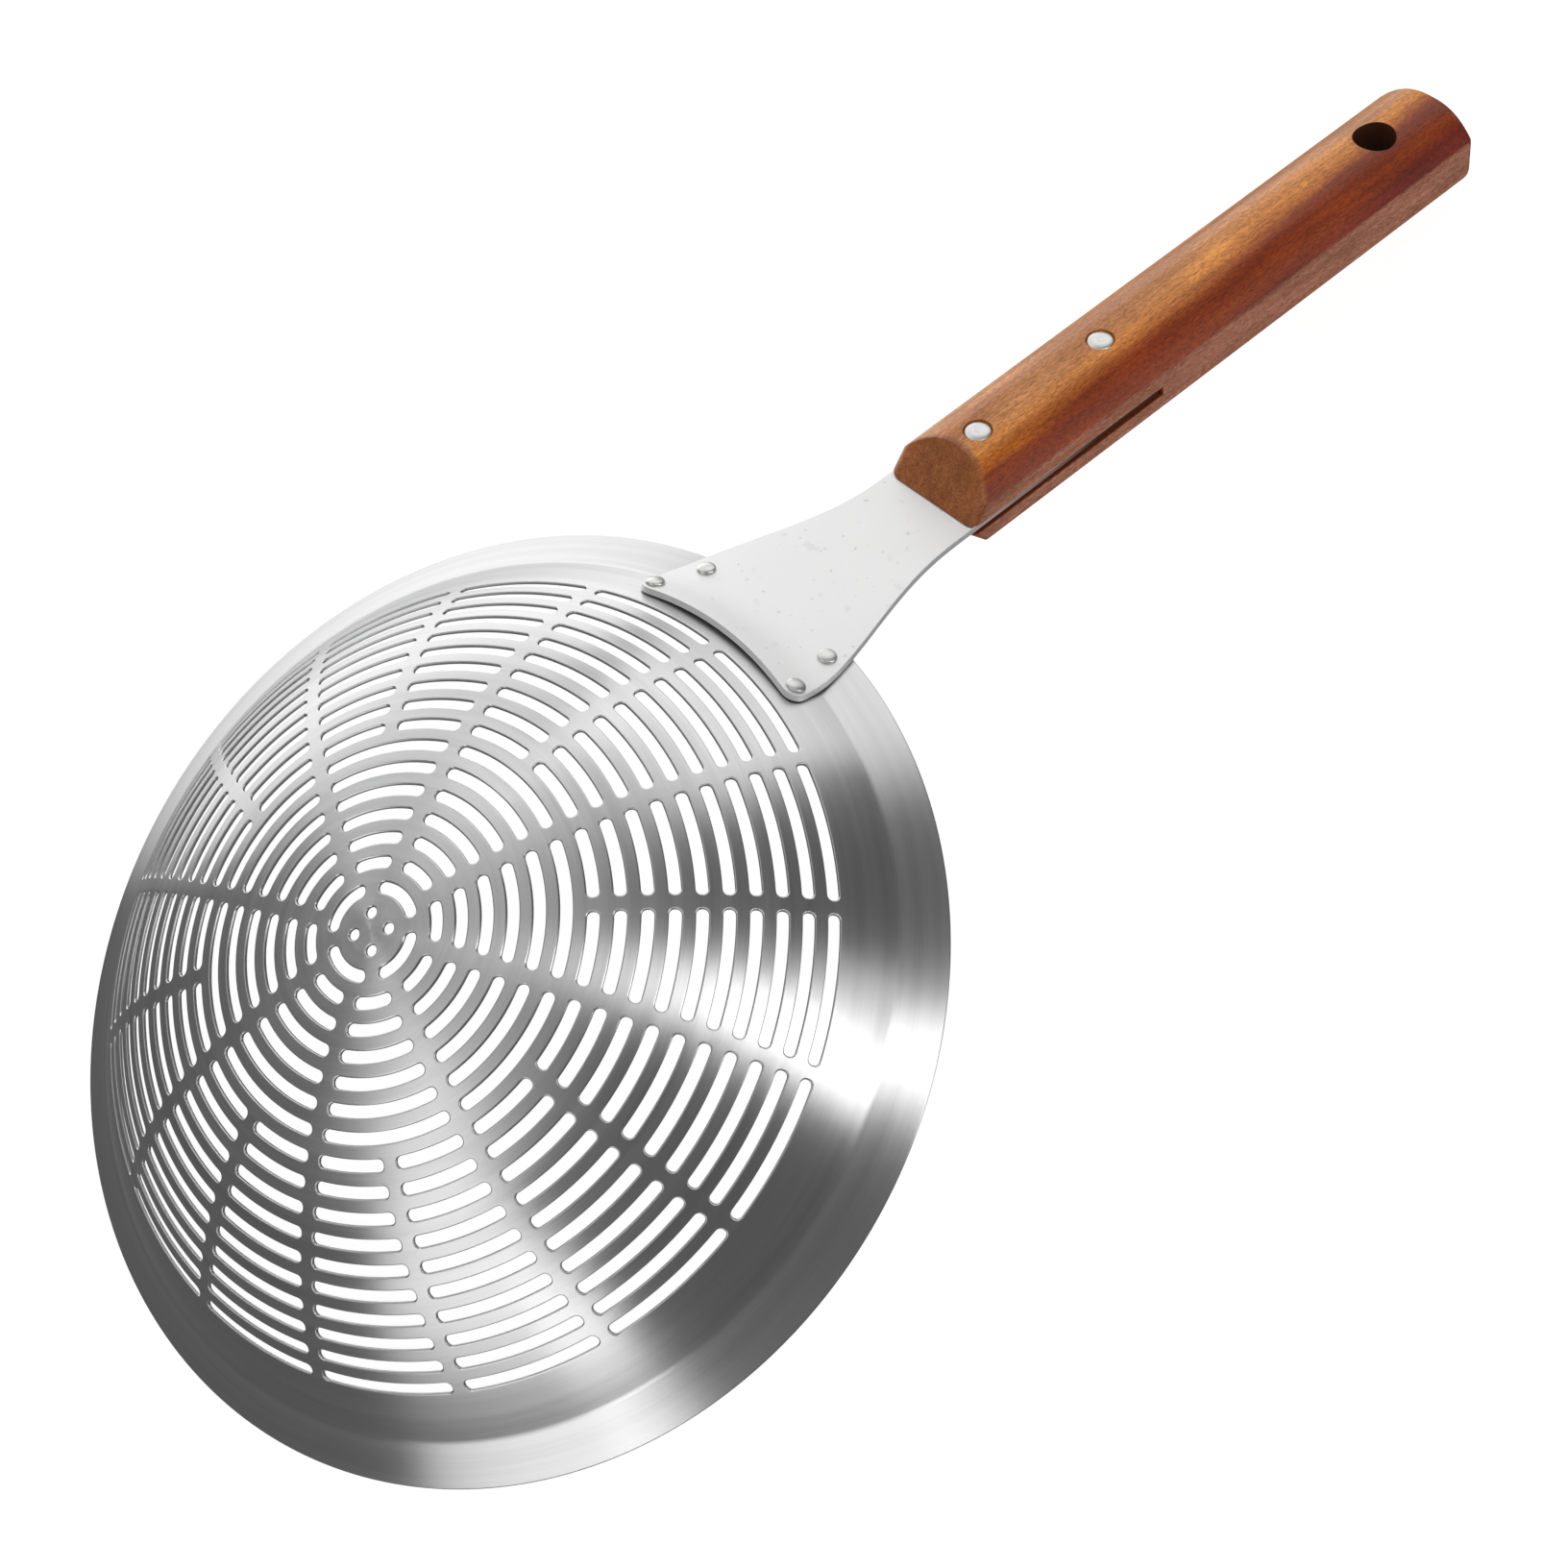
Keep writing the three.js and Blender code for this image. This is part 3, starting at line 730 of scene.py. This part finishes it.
def make_handle_bar():
    """The solid bar with its slanted nose and rounded end, as stations along X."""
    section = handle_section()
    count = len(section)
    front = np.array([nose_front(y, z) for y, z in section])
    full = HANDLE_END - END_ROUND
    stations = np.concatenate([np.linspace(0, 0.3, 16)[:-1], np.linspace(0.3, 1, 36)])
    rings = [np.column_stack([front + (full - front) * part, section]) for part in stations]
    for angle in np.radians(np.arange(11.25, 91, 11.25)):
        inset = 1 - END_ROUND * (1 - math.cos(angle)) / (HANDLE_WIDTH / 2)
        x = np.full((count, 1), full + END_ROUND * math.sin(angle))
        rings.append(np.hstack([x, section * inset]))
    points = [tuple(p) for ring in rings for p in ring]
    faces = []
    for first in range(len(rings) - 1):
        loop = list(range(first * count, (first + 1) * count))
        faces += quad_strip(loop, [i + count for i in loop])

    last = (len(rings) - 1) * count
    half = count // 2
    for k in range(half):
        strip = (last + k + 1, last + k, last + (count - k) % count, last + count - k - 1)
        faces.append(tuple(dict.fromkeys(strip)))

    spots = [math.sin(math.radians(a)) for a in (90, 72, 54, 36, 18, 0)]
    left = [1 - NOSE_CORNERS[1] / (HANDLE_WIDTH / 2) * (1 - spot) for spot in spots]
    right = [1 - NOSE_CORNERS[-1] / (HANDLE_WIDTH / 2) * (1 - spot) for spot in spots]
    across = left + [0.45, 0.15, -0.15, -0.45] + [-spot for spot in reversed(right)]
    rows = [[0] * len(across)]
    for k in range(1, half):
        y, z = section[k]
        row = [k]
        for spot in across[1:-1]:
            row.append(len(points))
            points.append((nose_front(y * spot, z), y * spot, z))
        rows.append(row + [count - k])
    rows.append([half] * len(across))
    for upper, lower in zip(rows, rows[1:]):
        for k in range(len(across) - 1):
            faces.append(tuple(dict.fromkeys((upper[k], upper[k + 1], lower[k + 1], lower[k]))))
    return points, [face for face in faces if len(face) > 2]


def bevel_where(piece, chosen, width, segments):
    mesh = bmesh.new()
    mesh.from_mesh(piece.data)
    edges = [edge for edge in mesh.edges if len(edge.link_faces) == 2 and chosen(edge)]
    bmesh.ops.bevel(mesh, geom=edges, offset=width * MM, segments=segments, profile=0.5,
                    affect="EDGES", clamp_overlap=True)
    mesh.to_mesh(piece.data)
    mesh.free()


def subtract(piece, cutter):
    boolean = piece.modifiers.new("cut", "BOOLEAN")
    boolean.operation = "DIFFERENCE"
    boolean.solver = "EXACT"
    boolean.object = cutter
    graph = bpy.context.evaluated_depsgraph_get()
    cut = bpy.data.meshes.new_from_object(piece.evaluated_get(graph))
    piece.modifiers.clear()
    piece.data = cut
    bpy.data.objects.remove(cutter)


def cylinder_cutter(name, x, radius, low, high, matrix, steps=48):
    points, faces = lathe([(0, low), (radius, low), (radius, high), (0, high)], steps)
    points = [(px + x, py, pz) for px, py, pz in points]
    return make_object(name, points, faces, None, matrix)


def box_cutter(name, low, high, matrix):
    points = [(x, y, z) for x in (low[0], high[0]) for y in (low[1], high[1]) for z in (low[2], high[2])]
    faces = [(0, 1, 3, 2), (4, 6, 7, 5), (0, 4, 5, 1), (2, 3, 7, 6), (0, 2, 6, 4), (1, 5, 7, 3)]
    return make_object(name, points, faces, None, matrix)


def near_circle(edge, x, radius, above):
    """True for an edge that runs round a hole's rim, outside the middle of the handle."""
    for vertex in edge.verts:
        reach = math.hypot(vertex.co.x / MM - x, vertex.co.y / MM)
        if abs(reach - radius) > 0.02 or abs(vertex.co.z / MM) < above:
            return False
    return edge.calc_face_angle(0) > math.radians(35)


def make_handle(matrix):
    points, faces = make_handle_bar()
    piece = make_object("handle_wood", points, faces, None, matrix)
    tidy_normals(piece)

    def round_a_facet(edge):
        facet = any(f.normal.x < -0.6 for f in edge.link_faces)
        body = any(abs(f.normal.x) < 0.35 for f in edge.link_faces)
        return facet and body and edge.calc_face_angle(0) > math.radians(25)

    bevel_where(piece, round_a_facet, FACET_ROUND, 4)
    half = HANDLE_THICKNESS / 2
    wide = HANDLE_WIDTH
    subtract(piece, box_cutter("kerf_cutter", (HANDLE_FRONT - 5, -wide, KERF[0]),
                               (KERF_END, wide, KERF[1]), matrix))
    subtract(piece, cylinder_cutter("hole_cutter", HANG_HOLE[0], HANG_HOLE[1], -20, 20, matrix, 64))
    for at in HANDLE_RIVETS.values():
        subtract(piece, cylinder_cutter("recess", at, RECESS_RADIUS, half - RECESS_DEPTH, 20, matrix))
        subtract(piece, cylinder_cutter("recess", at, RECESS_RADIUS, -20, RECESS_DEPTH - half, matrix))
        subtract(piece, cylinder_cutter("bore", at, HANDLE_RIVET_BORE, -20, 20, matrix, 32))
    bevel_where(piece, lambda e: near_circle(e, *HANG_HOLE, 6), HANG_HOLE_ROUND, 4)
    for at in HANDLE_RIVETS.values():
        bevel_where(piece, lambda e, x=at: near_circle(e, x, RECESS_RADIUS, 13.2), RECESS_ROUND, 2)

    def at_the_kerf(edge):
        ends = [v.co / MM for v in edge.verts]
        on_face = any(all(abs(p.z - level) < 0.02 for p in ends) for level in KERF)
        outside = all(abs(p.y) > 16.0 or p.x < HANDLE_FRONT + 5.5 for p in ends)
        return on_face and outside and edge.calc_face_angle(0) > math.radians(40)

    bevel_where(piece, at_the_kerf, KERF_ROUND, 2)
    piece.data.polygons.foreach_set("use_smooth", [True] * len(piece.data.polygons))
    weight_normals(piece)
    return piece


HEAD_RADIUS = 3.85
HEAD_SEAT = HANDLE_THICKNESS / 2 - RECESS_DEPTH + GAP
HEAD_RIM = 0.4
HEAD_DOME = 0.95
PIN_SHANK = 1.25
SLEEVE_OUTSIDE = 2.5
SLEEVE_INSIDE = 1.55


def make_pin(place, matrix):
    """The upper half of a cutler's rivet, with the small ring mark on its head."""
    top = HEAD_SEAT + HEAD_RIM + HEAD_DOME
    crown = [(HEAD_RADIUS * math.cos(a), HEAD_SEAT + HEAD_RIM + HEAD_DOME * math.sin(a))
             for a in (math.radians(d) for d in (0, 12, 26, 40, 54, 64))]
    mark = [(HEAD_RADIUS * r, top - drop) for r, drop in ((0.34, 0.10), (0.31, 0.14), (0.27, 0.09))]
    profile = [(0, -10), (PIN_SHANK, -10), (PIN_SHANK, HEAD_SEAT), (HEAD_RADIUS - 0.1, HEAD_SEAT),
               (HEAD_RADIUS, HEAD_SEAT + 0.1)]
    profile += crown + mark + [(HEAD_RADIUS * 0.14, top - 0.03), (0, top)]
    return make_turned(f"handle_rivet_pin_head_{place}", profile, HANDLE_RIVETS[place], matrix)


def make_sleeve(place, matrix):
    """The lower half of a cutler's rivet: a headed tube that the pin is driven into."""
    dome = [(r, -h) for r, h in reversed(dome_profile(HEAD_RADIUS, HEAD_SEAT + HEAD_RIM, HEAD_DOME))]
    mouth = HEAD_SEAT - 2 * GAP
    profile = dome + [(HEAD_RADIUS, -HEAD_SEAT), (SLEEVE_OUTSIDE, -HEAD_SEAT), (SLEEVE_OUTSIDE, mouth),
                      (SLEEVE_INSIDE, mouth), (SLEEVE_INSIDE, -10.3), (0, -10.3)]
    return make_turned(f"handle_rivet_sleeve_body_{place}", profile, HANDLE_RIVETS[place], matrix)


def make_turned(name, profile, at, matrix):
    points, faces = lathe(profile, 48)
    piece = make_object(name, [(x + at, y, z) for x, y, z in points], faces, None, matrix)
    tidy_normals(piece)
    soften(piece, 0.08, 55)
    return piece


# ---- materials ----
class Shader:
    """A short way to write a node tree."""

    def __init__(self, name):
        self.material = bpy.data.materials.new(name)
        self.material.use_nodes = True
        self.tree = self.material.node_tree
        self.surface = self.tree.nodes["Principled BSDF"]

    def node(self, kind, inputs=None, **settings):
        made = self.tree.nodes.new(kind)
        for key, value in settings.items():
            setattr(made, key, value)
        for key, value in (inputs or {}).items():
            if isinstance(value, bpy.types.NodeSocket):
                self.tree.links.new(value, made.inputs[key])
            else:
                made.inputs[key].default_value = value
        return made

    def place_in(self, matrix):
        """The place on the piece, in metres, in the frame that a matrix stands for."""
        inverse = matrix.inverted()
        here = self.node("ShaderNodeTexCoord").outputs["Object"]
        inputs = {"Vector": here, "Location": inverse.translation, "Rotation": inverse.to_euler("XYZ")}
        return self.node("ShaderNodeMapping", inputs).outputs[0]

    def vector(self, operation, first, second=(0, 0, 0)):
        made = self.node("ShaderNodeVectorMath", {0: first, 1: second}, operation=operation)
        single = operation in ("LENGTH", "DISTANCE", "DOT_PRODUCT")
        return made.outputs["Value" if single else "Vector"]

    def join(self, x, y, z=0.0):
        return self.node("ShaderNodeCombineXYZ", {"X": x, "Y": y, "Z": z}).outputs[0]

    def stretched(self, place, scale):
        return self.node("ShaderNodeMapping", {"Vector": place, "Scale": scale}).outputs[0]

    def noise(self, place, scale, detail=3.0, rough=0.5, distortion=0.0):
        inputs = {"Vector": place, "Scale": scale, "Detail": detail, "Roughness": rough,
                  "Distortion": distortion}
        return self.node("ShaderNodeTexNoise", inputs).outputs["Fac"]

    def ramp(self, value, stops):
        made = self.node("ShaderNodeValToRGB", {"Fac": value})
        elements = made.color_ramp.elements
        while len(elements) < len(stops):
            elements.new(0.5)
        for element, (position, colour) in zip(elements, stops):
            element.position = position
            element.color = (*colour, 1) if len(colour) == 3 else colour
        return made.outputs["Color"]

    def patches(self, value, low, high):
        """White where a noise is above `high`, black where it is below `low`."""
        return self.ramp(value, [(0.0, (0, 0, 0)), (low, (0, 0, 0)), (high, (1, 1, 1))])

    def mix(self, factor, first, second, blend="MIX"):
        made = self.node("ShaderNodeMix", data_type="RGBA", blend_type=blend)
        for socket, value in ((made.inputs[0], factor), (made.inputs[6], first), (made.inputs[7], second)):
            if isinstance(value, bpy.types.NodeSocket):
                self.tree.links.new(value, socket)
            else:
                socket.default_value = value if isinstance(value, float) else (*value, 1)
        return made.outputs[2]

    def math(self, operation, first, second=0.0):
        return self.node("ShaderNodeMath", {0: first, 1: second}, operation=operation).outputs[0]

    def spread(self, value, low, high, ends="To"):
        inputs = {"Value": value, f"{ends} Min": low, f"{ends} Max": high}
        return self.node("ShaderNodeMapRange", inputs).outputs[0]

    def spread_from(self, value, low, high):
        return self.spread(value, low, high, "From")

    def split(self, vector):
        return self.node("ShaderNodeSeparateXYZ", {"Vector": vector}).outputs

    def bump(self, height, strength, distance, under=None):
        inputs = {"Height": height, "Strength": strength, "Distance": distance}
        if under is not None:
            inputs["Normal"] = under
        return self.node("ShaderNodeBump", inputs).outputs[0]

    def link(self, output, name):
        self.tree.links.new(output, self.surface.inputs[name])

    def set(self, **values):
        for name, value in values.items():
            self.surface.inputs[name.replace("_", " ")].default_value = value


def bowl_steel(ladle):
    """Sheet brushed in rings about the bowl's axis, so its highlights stretch along the radius."""
    s = Shader("bowl_brushed_steel")
    x, y, _ = s.split(s.place_in(ladle))
    flat = s.join(x, y)
    reach = s.vector("LENGTH", flat)
    about_x, about_y, _ = s.split(s.vector("MULTIPLY", s.vector("NORMALIZE", flat), (0.35, 0.35, 0.35)))
    stretched = s.join(about_x, about_y, s.math("MULTIPLY", reach, 260.0))  # long round the bowl
    lines = s.noise(stretched, 14.0, 6.0, 0.7)
    broad = s.noise(stretched, 1.6, 3.0, 0.5)
    tones = ((0.32, 0.86), (0.50, 1.0), (0.68, 1.12))
    rings = s.ramp(broad, [(at, (tone, tone, tone)) for at, tone in tones])
    steel = s.mix(lines, (0.60, 0.60, 0.605), (0.74, 0.74, 0.745))
    s.link(s.mix(0.5, steel, rings, "MULTIPLY"), "Base Color")
    rough = s.math("ADD", s.spread(lines, -0.04, 0.04), s.spread(broad, 0.28, 0.34))
    s.link(rough, "Roughness")
    turned = s.node("ShaderNodeMapping", {"Vector": flat, "Rotation": ladle.to_euler("XYZ")},
                    vector_type="VECTOR").outputs[0]
    s.link(turned, "Tangent")
    s.link(s.bump(lines, 0.06, 0.0002), "Normal")
    s.set(Metallic=1.0, Anisotropic=0.88)
    return s.material


def plate_steel(ladle, handle):
    """Tumbled sheet: almost even, with fine scratches and a few small specks, and painted shade on its edge
    in the handle's saw slot and on its inner end wall.
    """
    s = Shader("plate_tumbled_steel")
    place = s.place_in(ladle)
    grain = s.noise(place, 900.0, 4.0, 0.7)
    cloud = s.noise(place, 22.0, 3.0, 0.5)
    scratch = s.noise(s.stretched(place, (60.0, 1500.0, 60.0)), 1.0, 2.0, 0.6)
    specks = s.patches(s.noise(place, 520.0, 1.0, 0.4), 0.72, 0.78)
    dents = s.patches(s.noise(place, 190.0, 2.0, 0.5), 0.66, 0.72)
    tone = s.mix(cloud, (0.86, 0.86, 0.858), (0.92, 0.92, 0.918))
    tone = s.mix(s.math("MULTIPLY", dents, 0.2), tone, (0.60, 0.60, 0.595))
    tone = s.mix(s.math("MULTIPLY", specks, 0.4), tone, (0.5, 0.5, 0.495))
    along, across, height = s.split(s.place_in(handle))
    # Painted shade and painted reflection: the lower part of the tang's side edge inside the handle's saw
    # slot is darkened to a wood brown, more towards the rear.
    rim = s.spread_from(s.math("ABSOLUTE", across), 0.0155, 0.0158)
    slot_shade_reach = s.math("MULTIPLY", s.spread_from(along, -0.016, 0.030), s.spread_from(height, 0.0011, 0.0008))
    tone = s.mix(s.math("MULTIPLY", rim, slot_shade_reach), tone, (0.10, 0.07, 0.05))
    # Painted shade: faces turned towards the bowl's middle, the wall of the plate's inner end, are
    # darkened.
    inward = -ladle.to_3x3().col[0]
    inner_end_shade = s.vector("DOT_PRODUCT", s.node("ShaderNodeNewGeometry").outputs["Normal"], inward)
    s.link(s.mix(s.spread_from(inner_end_shade, 0.7, 0.9), tone, (0.34, 0.34, 0.335)), "Base Color")
    s.link(s.math("ADD", s.spread(grain, 0.46, 0.56), s.spread(scratch, -0.03, 0.03)), "Roughness")
    s.link(s.bump(grain, 0.08, 0.0002), "Normal")
    s.set(Metallic=0.8)
    return s.material


def rivet_steel(ladle):
    s = Shader("rivet_polished_steel")
    place = s.place_in(ladle)
    scuff = s.noise(place, 500.0, 4.0, 0.6)
    s.link(s.mix(scuff, (0.64, 0.64, 0.63), (0.80, 0.80, 0.79)), "Base Color")
    s.link(s.spread(scuff, 0.30, 0.46), "Roughness")
    s.link(s.bump(scuff, 0.03, 0.0002), "Normal")
    s.set(Metallic=1.0)
    return s.material


def handle_wood(handle):
    """Dark reddish timber: long bands, short fine pores along the grain, satin varnish, with painted shade
    inside the hang hole and painted sheen along the arch's left edge.
    """
    s = Shader("handle_varnished_wood")
    place = s.place_in(handle)
    along, across, height = s.split(place)
    sway = s.noise(s.stretched(place, (11.0, 60.0, 60.0)), 1.0, 3.0, 0.55)
    drift = s.math("MULTIPLY", along, -0.055)
    lie = s.math("ADD", s.math("ADD", across, drift), s.spread(sway, -0.0045, 0.0045))
    # Partly painted sheen: the pale salmon at the ramp's high end, along the arch's left edge, stands for
    # the varnish's highlight there over the wood's own bands.
    bands_and_sheen = s.ramp(s.spread_from(lie, -0.0225, 0.016), [
        (0.00, (0.17, 0.013, 0.002)), (0.11, (0.25, 0.038, 0.003)), (0.22, (0.23, 0.030, 0.002)),
        (0.27, (0.27, 0.042, 0.003)), (0.33, (0.47, 0.124, 0.010)), (0.42, (0.68, 0.242, 0.038)),
        (0.51, (0.66, 0.262, 0.066)), (0.60, (0.56, 0.224, 0.064)), (0.69, (0.52, 0.194, 0.052)),
        (0.79, (0.56, 0.204, 0.050)), (0.90, (0.63, 0.278, 0.096)), (1.00, (0.66, 0.360, 0.190)),
    ])
    flat_side = s.spread_from(s.math("ABSOLUTE", across), 0.0161, 0.01655)
    bands_and_sheen = s.mix(flat_side, bands_and_sheen, (0.31, 0.118, 0.064))
    slant = NOSE_CUT / (HANDLE_THICKNESS / 2 - KERF[1])
    off_nose = s.math("ADD", along, s.math("MULTIPLY", s.math("ABSOLUTE", height), -slant))
    nose = (HANDLE_FRONT - slant * KERF[1]) * MM
    end_grain = s.spread_from(off_nose, nose + 0.0022, nose + 0.0006)
    bands_and_sheen = s.mix(end_grain, bands_and_sheen, (0.34, 0.110, 0.030))
    streaks = s.noise(s.stretched(place, (26.0, 620.0, 620.0)), 1.0, 4.0, 0.6)
    leaning = s.node("ShaderNodeMapping", {
        "Vector": place, "Rotation": (0, 0, math.radians(-11)), "Scale": (600.0, 2700.0, 2700.0),
    }).outputs[0]
    pores = s.noise(leaning, 1.0, 2.0, 0.55)
    fleck = s.ramp(pores, [(0.32, (0.62, 0.50, 0.42)), (0.50, (1.06, 1.04, 1.03)),
                           (0.68, (1.36, 1.50, 1.70))])
    streak_tone = s.ramp(streaks, [(0.30, (0.82, 0.74, 0.68)), (0.68, (1.24, 1.30, 1.36))])
    tone = s.mix(0.9, bands_and_sheen, streak_tone, "MULTIPLY")
    tone = s.mix(0.9, tone, fleck, "MULTIPLY")
    blotch = s.noise(s.stretched(place, (35.0, 120.0, 120.0)), 1.0, 3.0, 0.5)
    blotch_tone = s.ramp(blotch, [(0.32, (0.80, 0.74, 0.70)), (0.66, (1.20, 1.22, 1.24))])
    tone = s.mix(0.8, tone, blotch_tone, "MULTIPLY")
    # Painted shade: the wall of the hang hole is darkened to almost black, well past the raw wood's own
    # darker tone.
    off_hole = s.vector("DISTANCE", s.join(along, across), (HANG_HOLE[0] * MM, 0, 0))
    bore = s.spread_from(off_hole, (HANG_HOLE[1] + 0.25) * MM, (HANG_HOLE[1] + 0.05) * MM)
    s.link(s.mix(bore, tone, (0.085, 0.028, 0.010)), "Base Color")
    s.link(s.spread(streaks, 0.42, 0.56), "Roughness")
    s.link(s.bump(pores, 0.18, 0.0003, s.bump(streaks, 0.08, 0.0003)), "Normal")
    s.set(Coat_Weight=0.24, Coat_Roughness=0.24, Specular_IOR_Level=0.3)
    return s.material


def floor_paper():
    s = Shader("floor_paper")
    s.set(Base_Color=(0.15, 0.15, 0.15, 1), Roughness=0.9, Specular_IOR_Level=0.1,
          Emission_Color=(1, 1, 1, 1), Emission_Strength=0.95)
    return s.material


# ---- stage ----
FLOOR_REACH = 40000.0  # far enough for its edge to stay near the horizon in low views
FLOOR_DROP = 0.0004  # in metres
LENS = 83.4
SENSOR = 36.0
CAMERA_PLACE = (107.76, -518.76, 809.65)
CAMERA_BACK = (0.0184, -0.5150, 0.8570)
CAMERA_UP = (0.8026, 0.5188, 0.2946)
WORLD_STRENGTH = 0.11
BOX_DISTANCE = 3.0  # from the soft boxes to the origin, in metres
LIT_HEIGHT = 0.05  # the height that the soft boxes face, in metres


def make_floor():
    size = FLOOR_REACH
    points = [(-size, -size, 0), (size, -size, 0), (size, size, 0), (-size, size, 0)]
    floor = make_object("floor", points, [(0, 1, 2, 3)])
    floor.data.materials.append(floor_paper())
    floor.location.z = -FLOOR_DROP
    floor.visible_glossy = False  # the steel mirrors the dim studio instead of the bright paper
    floor.visible_shadow = False


def look_at(place, target, up):
    back = (place - target).normalized()
    right = up.cross(back).normalized()
    turn = Matrix((right, back.cross(right), back)).transposed()
    return Matrix.Translation(place) @ turn.to_4x4()


def make_camera(ladle):
    """Above the dome, to the right of the handle; the places are in the ladle frame."""
    data = bpy.data.cameras.new("camera")
    data.lens = LENS
    data.sensor_width = SENSOR
    place = Vector(CAMERA_PLACE) * MM
    camera = bpy.data.objects.new("camera", data)
    bpy.context.scene.collection.objects.link(camera)
    camera.matrix_world = ladle @ look_at(place, place - Vector(CAMERA_BACK), Vector(CAMERA_UP))
    bpy.context.scene.camera = camera


def soft_box(name, azimuth, elevation, radiance):
    """A flat soft box that faces the object and fills a range of azimuth, from +X to +Y, and elevation."""
    a, e = (math.radians(sum(ends) / 2) for ends in (azimuth, elevation))
    wide, tall = (2 * math.tan(math.radians(ends[1] - ends[0]) / 2) for ends in (azimuth, elevation))
    place = Vector((math.cos(a) * math.cos(e), math.sin(a) * math.cos(e), math.sin(e))) * BOX_DISTANCE
    data = bpy.data.lights.new(name, "AREA")
    data.shape = "RECTANGLE"
    data.size, data.size_y = wide * BOX_DISTANCE * math.cos(e), tall * BOX_DISTANCE
    data.energy = radiance * math.pi * data.size * data.size_y
    light = bpy.data.objects.new(name, data)
    bpy.context.scene.collection.objects.link(light)
    light.matrix_world = look_at(place, Vector((0, 0, LIT_HEIGHT)), Vector((0.001, 0.001, 1)))


def make_lights():
    """A pale room: a wall of light behind, a bright strip in front, soft boxes at the left and above."""
    world = bpy.data.worlds.new("studio")
    world.use_nodes = True
    background = world.node_tree.nodes["Background"]
    background.inputs["Color"].default_value = (1, 1, 1, 1)
    background.inputs["Strength"].default_value = WORLD_STRENGTH
    bpy.context.scene.world = world
    bpy.context.scene.view_settings.view_transform = "Standard"
    soft_box("right_wall", (0, 45), (18, 56), 1.15)
    soft_box("right_wall_foot", (0, 45), (0, 18), 0.8)
    soft_box("back_wall", (45, 105), (18, 56), 0.8)
    soft_box("back_wall_foot", (45, 105), (-16, 18), 1.65)
    soft_box("ceiling_right", (0, 75), (56, 75), 0.3)
    soft_box("ceiling_left", (75, 180), (56, 75), 0.9)
    soft_box("left_wall", (150, 195), (36, 56), 0.9)
    soft_box("left_box", (180, 210), (0, 36), 1.4)
    soft_box("left_edge", (210, 225), (0, 18), 2.7)
    soft_box("strip", (285, 300), (0, 56), 2.9)
    soft_box("strip_side", (300, 315), (0, 36), 0.9)
    soft_box("strip_top", (268, 300), (56, 75), 1.6)
    soft_box("overhead_right", (15, 75), (76, 90), 0.6)
    soft_box("overhead_left", (195, 255), (76, 90), 1.0)


# ---- build ----
handle_matrix, ladle_matrix = ladle_frames()
make_camera(ladle_matrix)
bowl_metal = bowl_steel(ladle_matrix)
plate_metal = plate_steel(ladle_matrix, handle_matrix)
rivet_metal = rivet_steel(ladle_matrix)
wood = handle_wood(handle_matrix)
settle(make_bowl(ladle_matrix), "bowl", bowl_metal)
settle(make_plate(ladle_matrix), "neck_plate", plate_metal)
settle(make_handle(handle_matrix), "handle", wood)
for rivet_place in BOWL_RIVETS:
    for rivet_side in ("left", "right"):
        settle(make_bowl_rivet(rivet_place, rivet_side, ladle_matrix),
               f"bowl_rivet_{rivet_place}_{rivet_side}", rivet_metal)
for rivet_place in HANDLE_RIVETS:
    settle(make_pin(rivet_place, handle_matrix),
           f"handle_rivet_pin_{rivet_place}", rivet_metal)
    settle(make_sleeve(rivet_place, handle_matrix),
           f"handle_rivet_sleeve_{rivet_place}", rivet_metal)
make_floor()
make_lights()
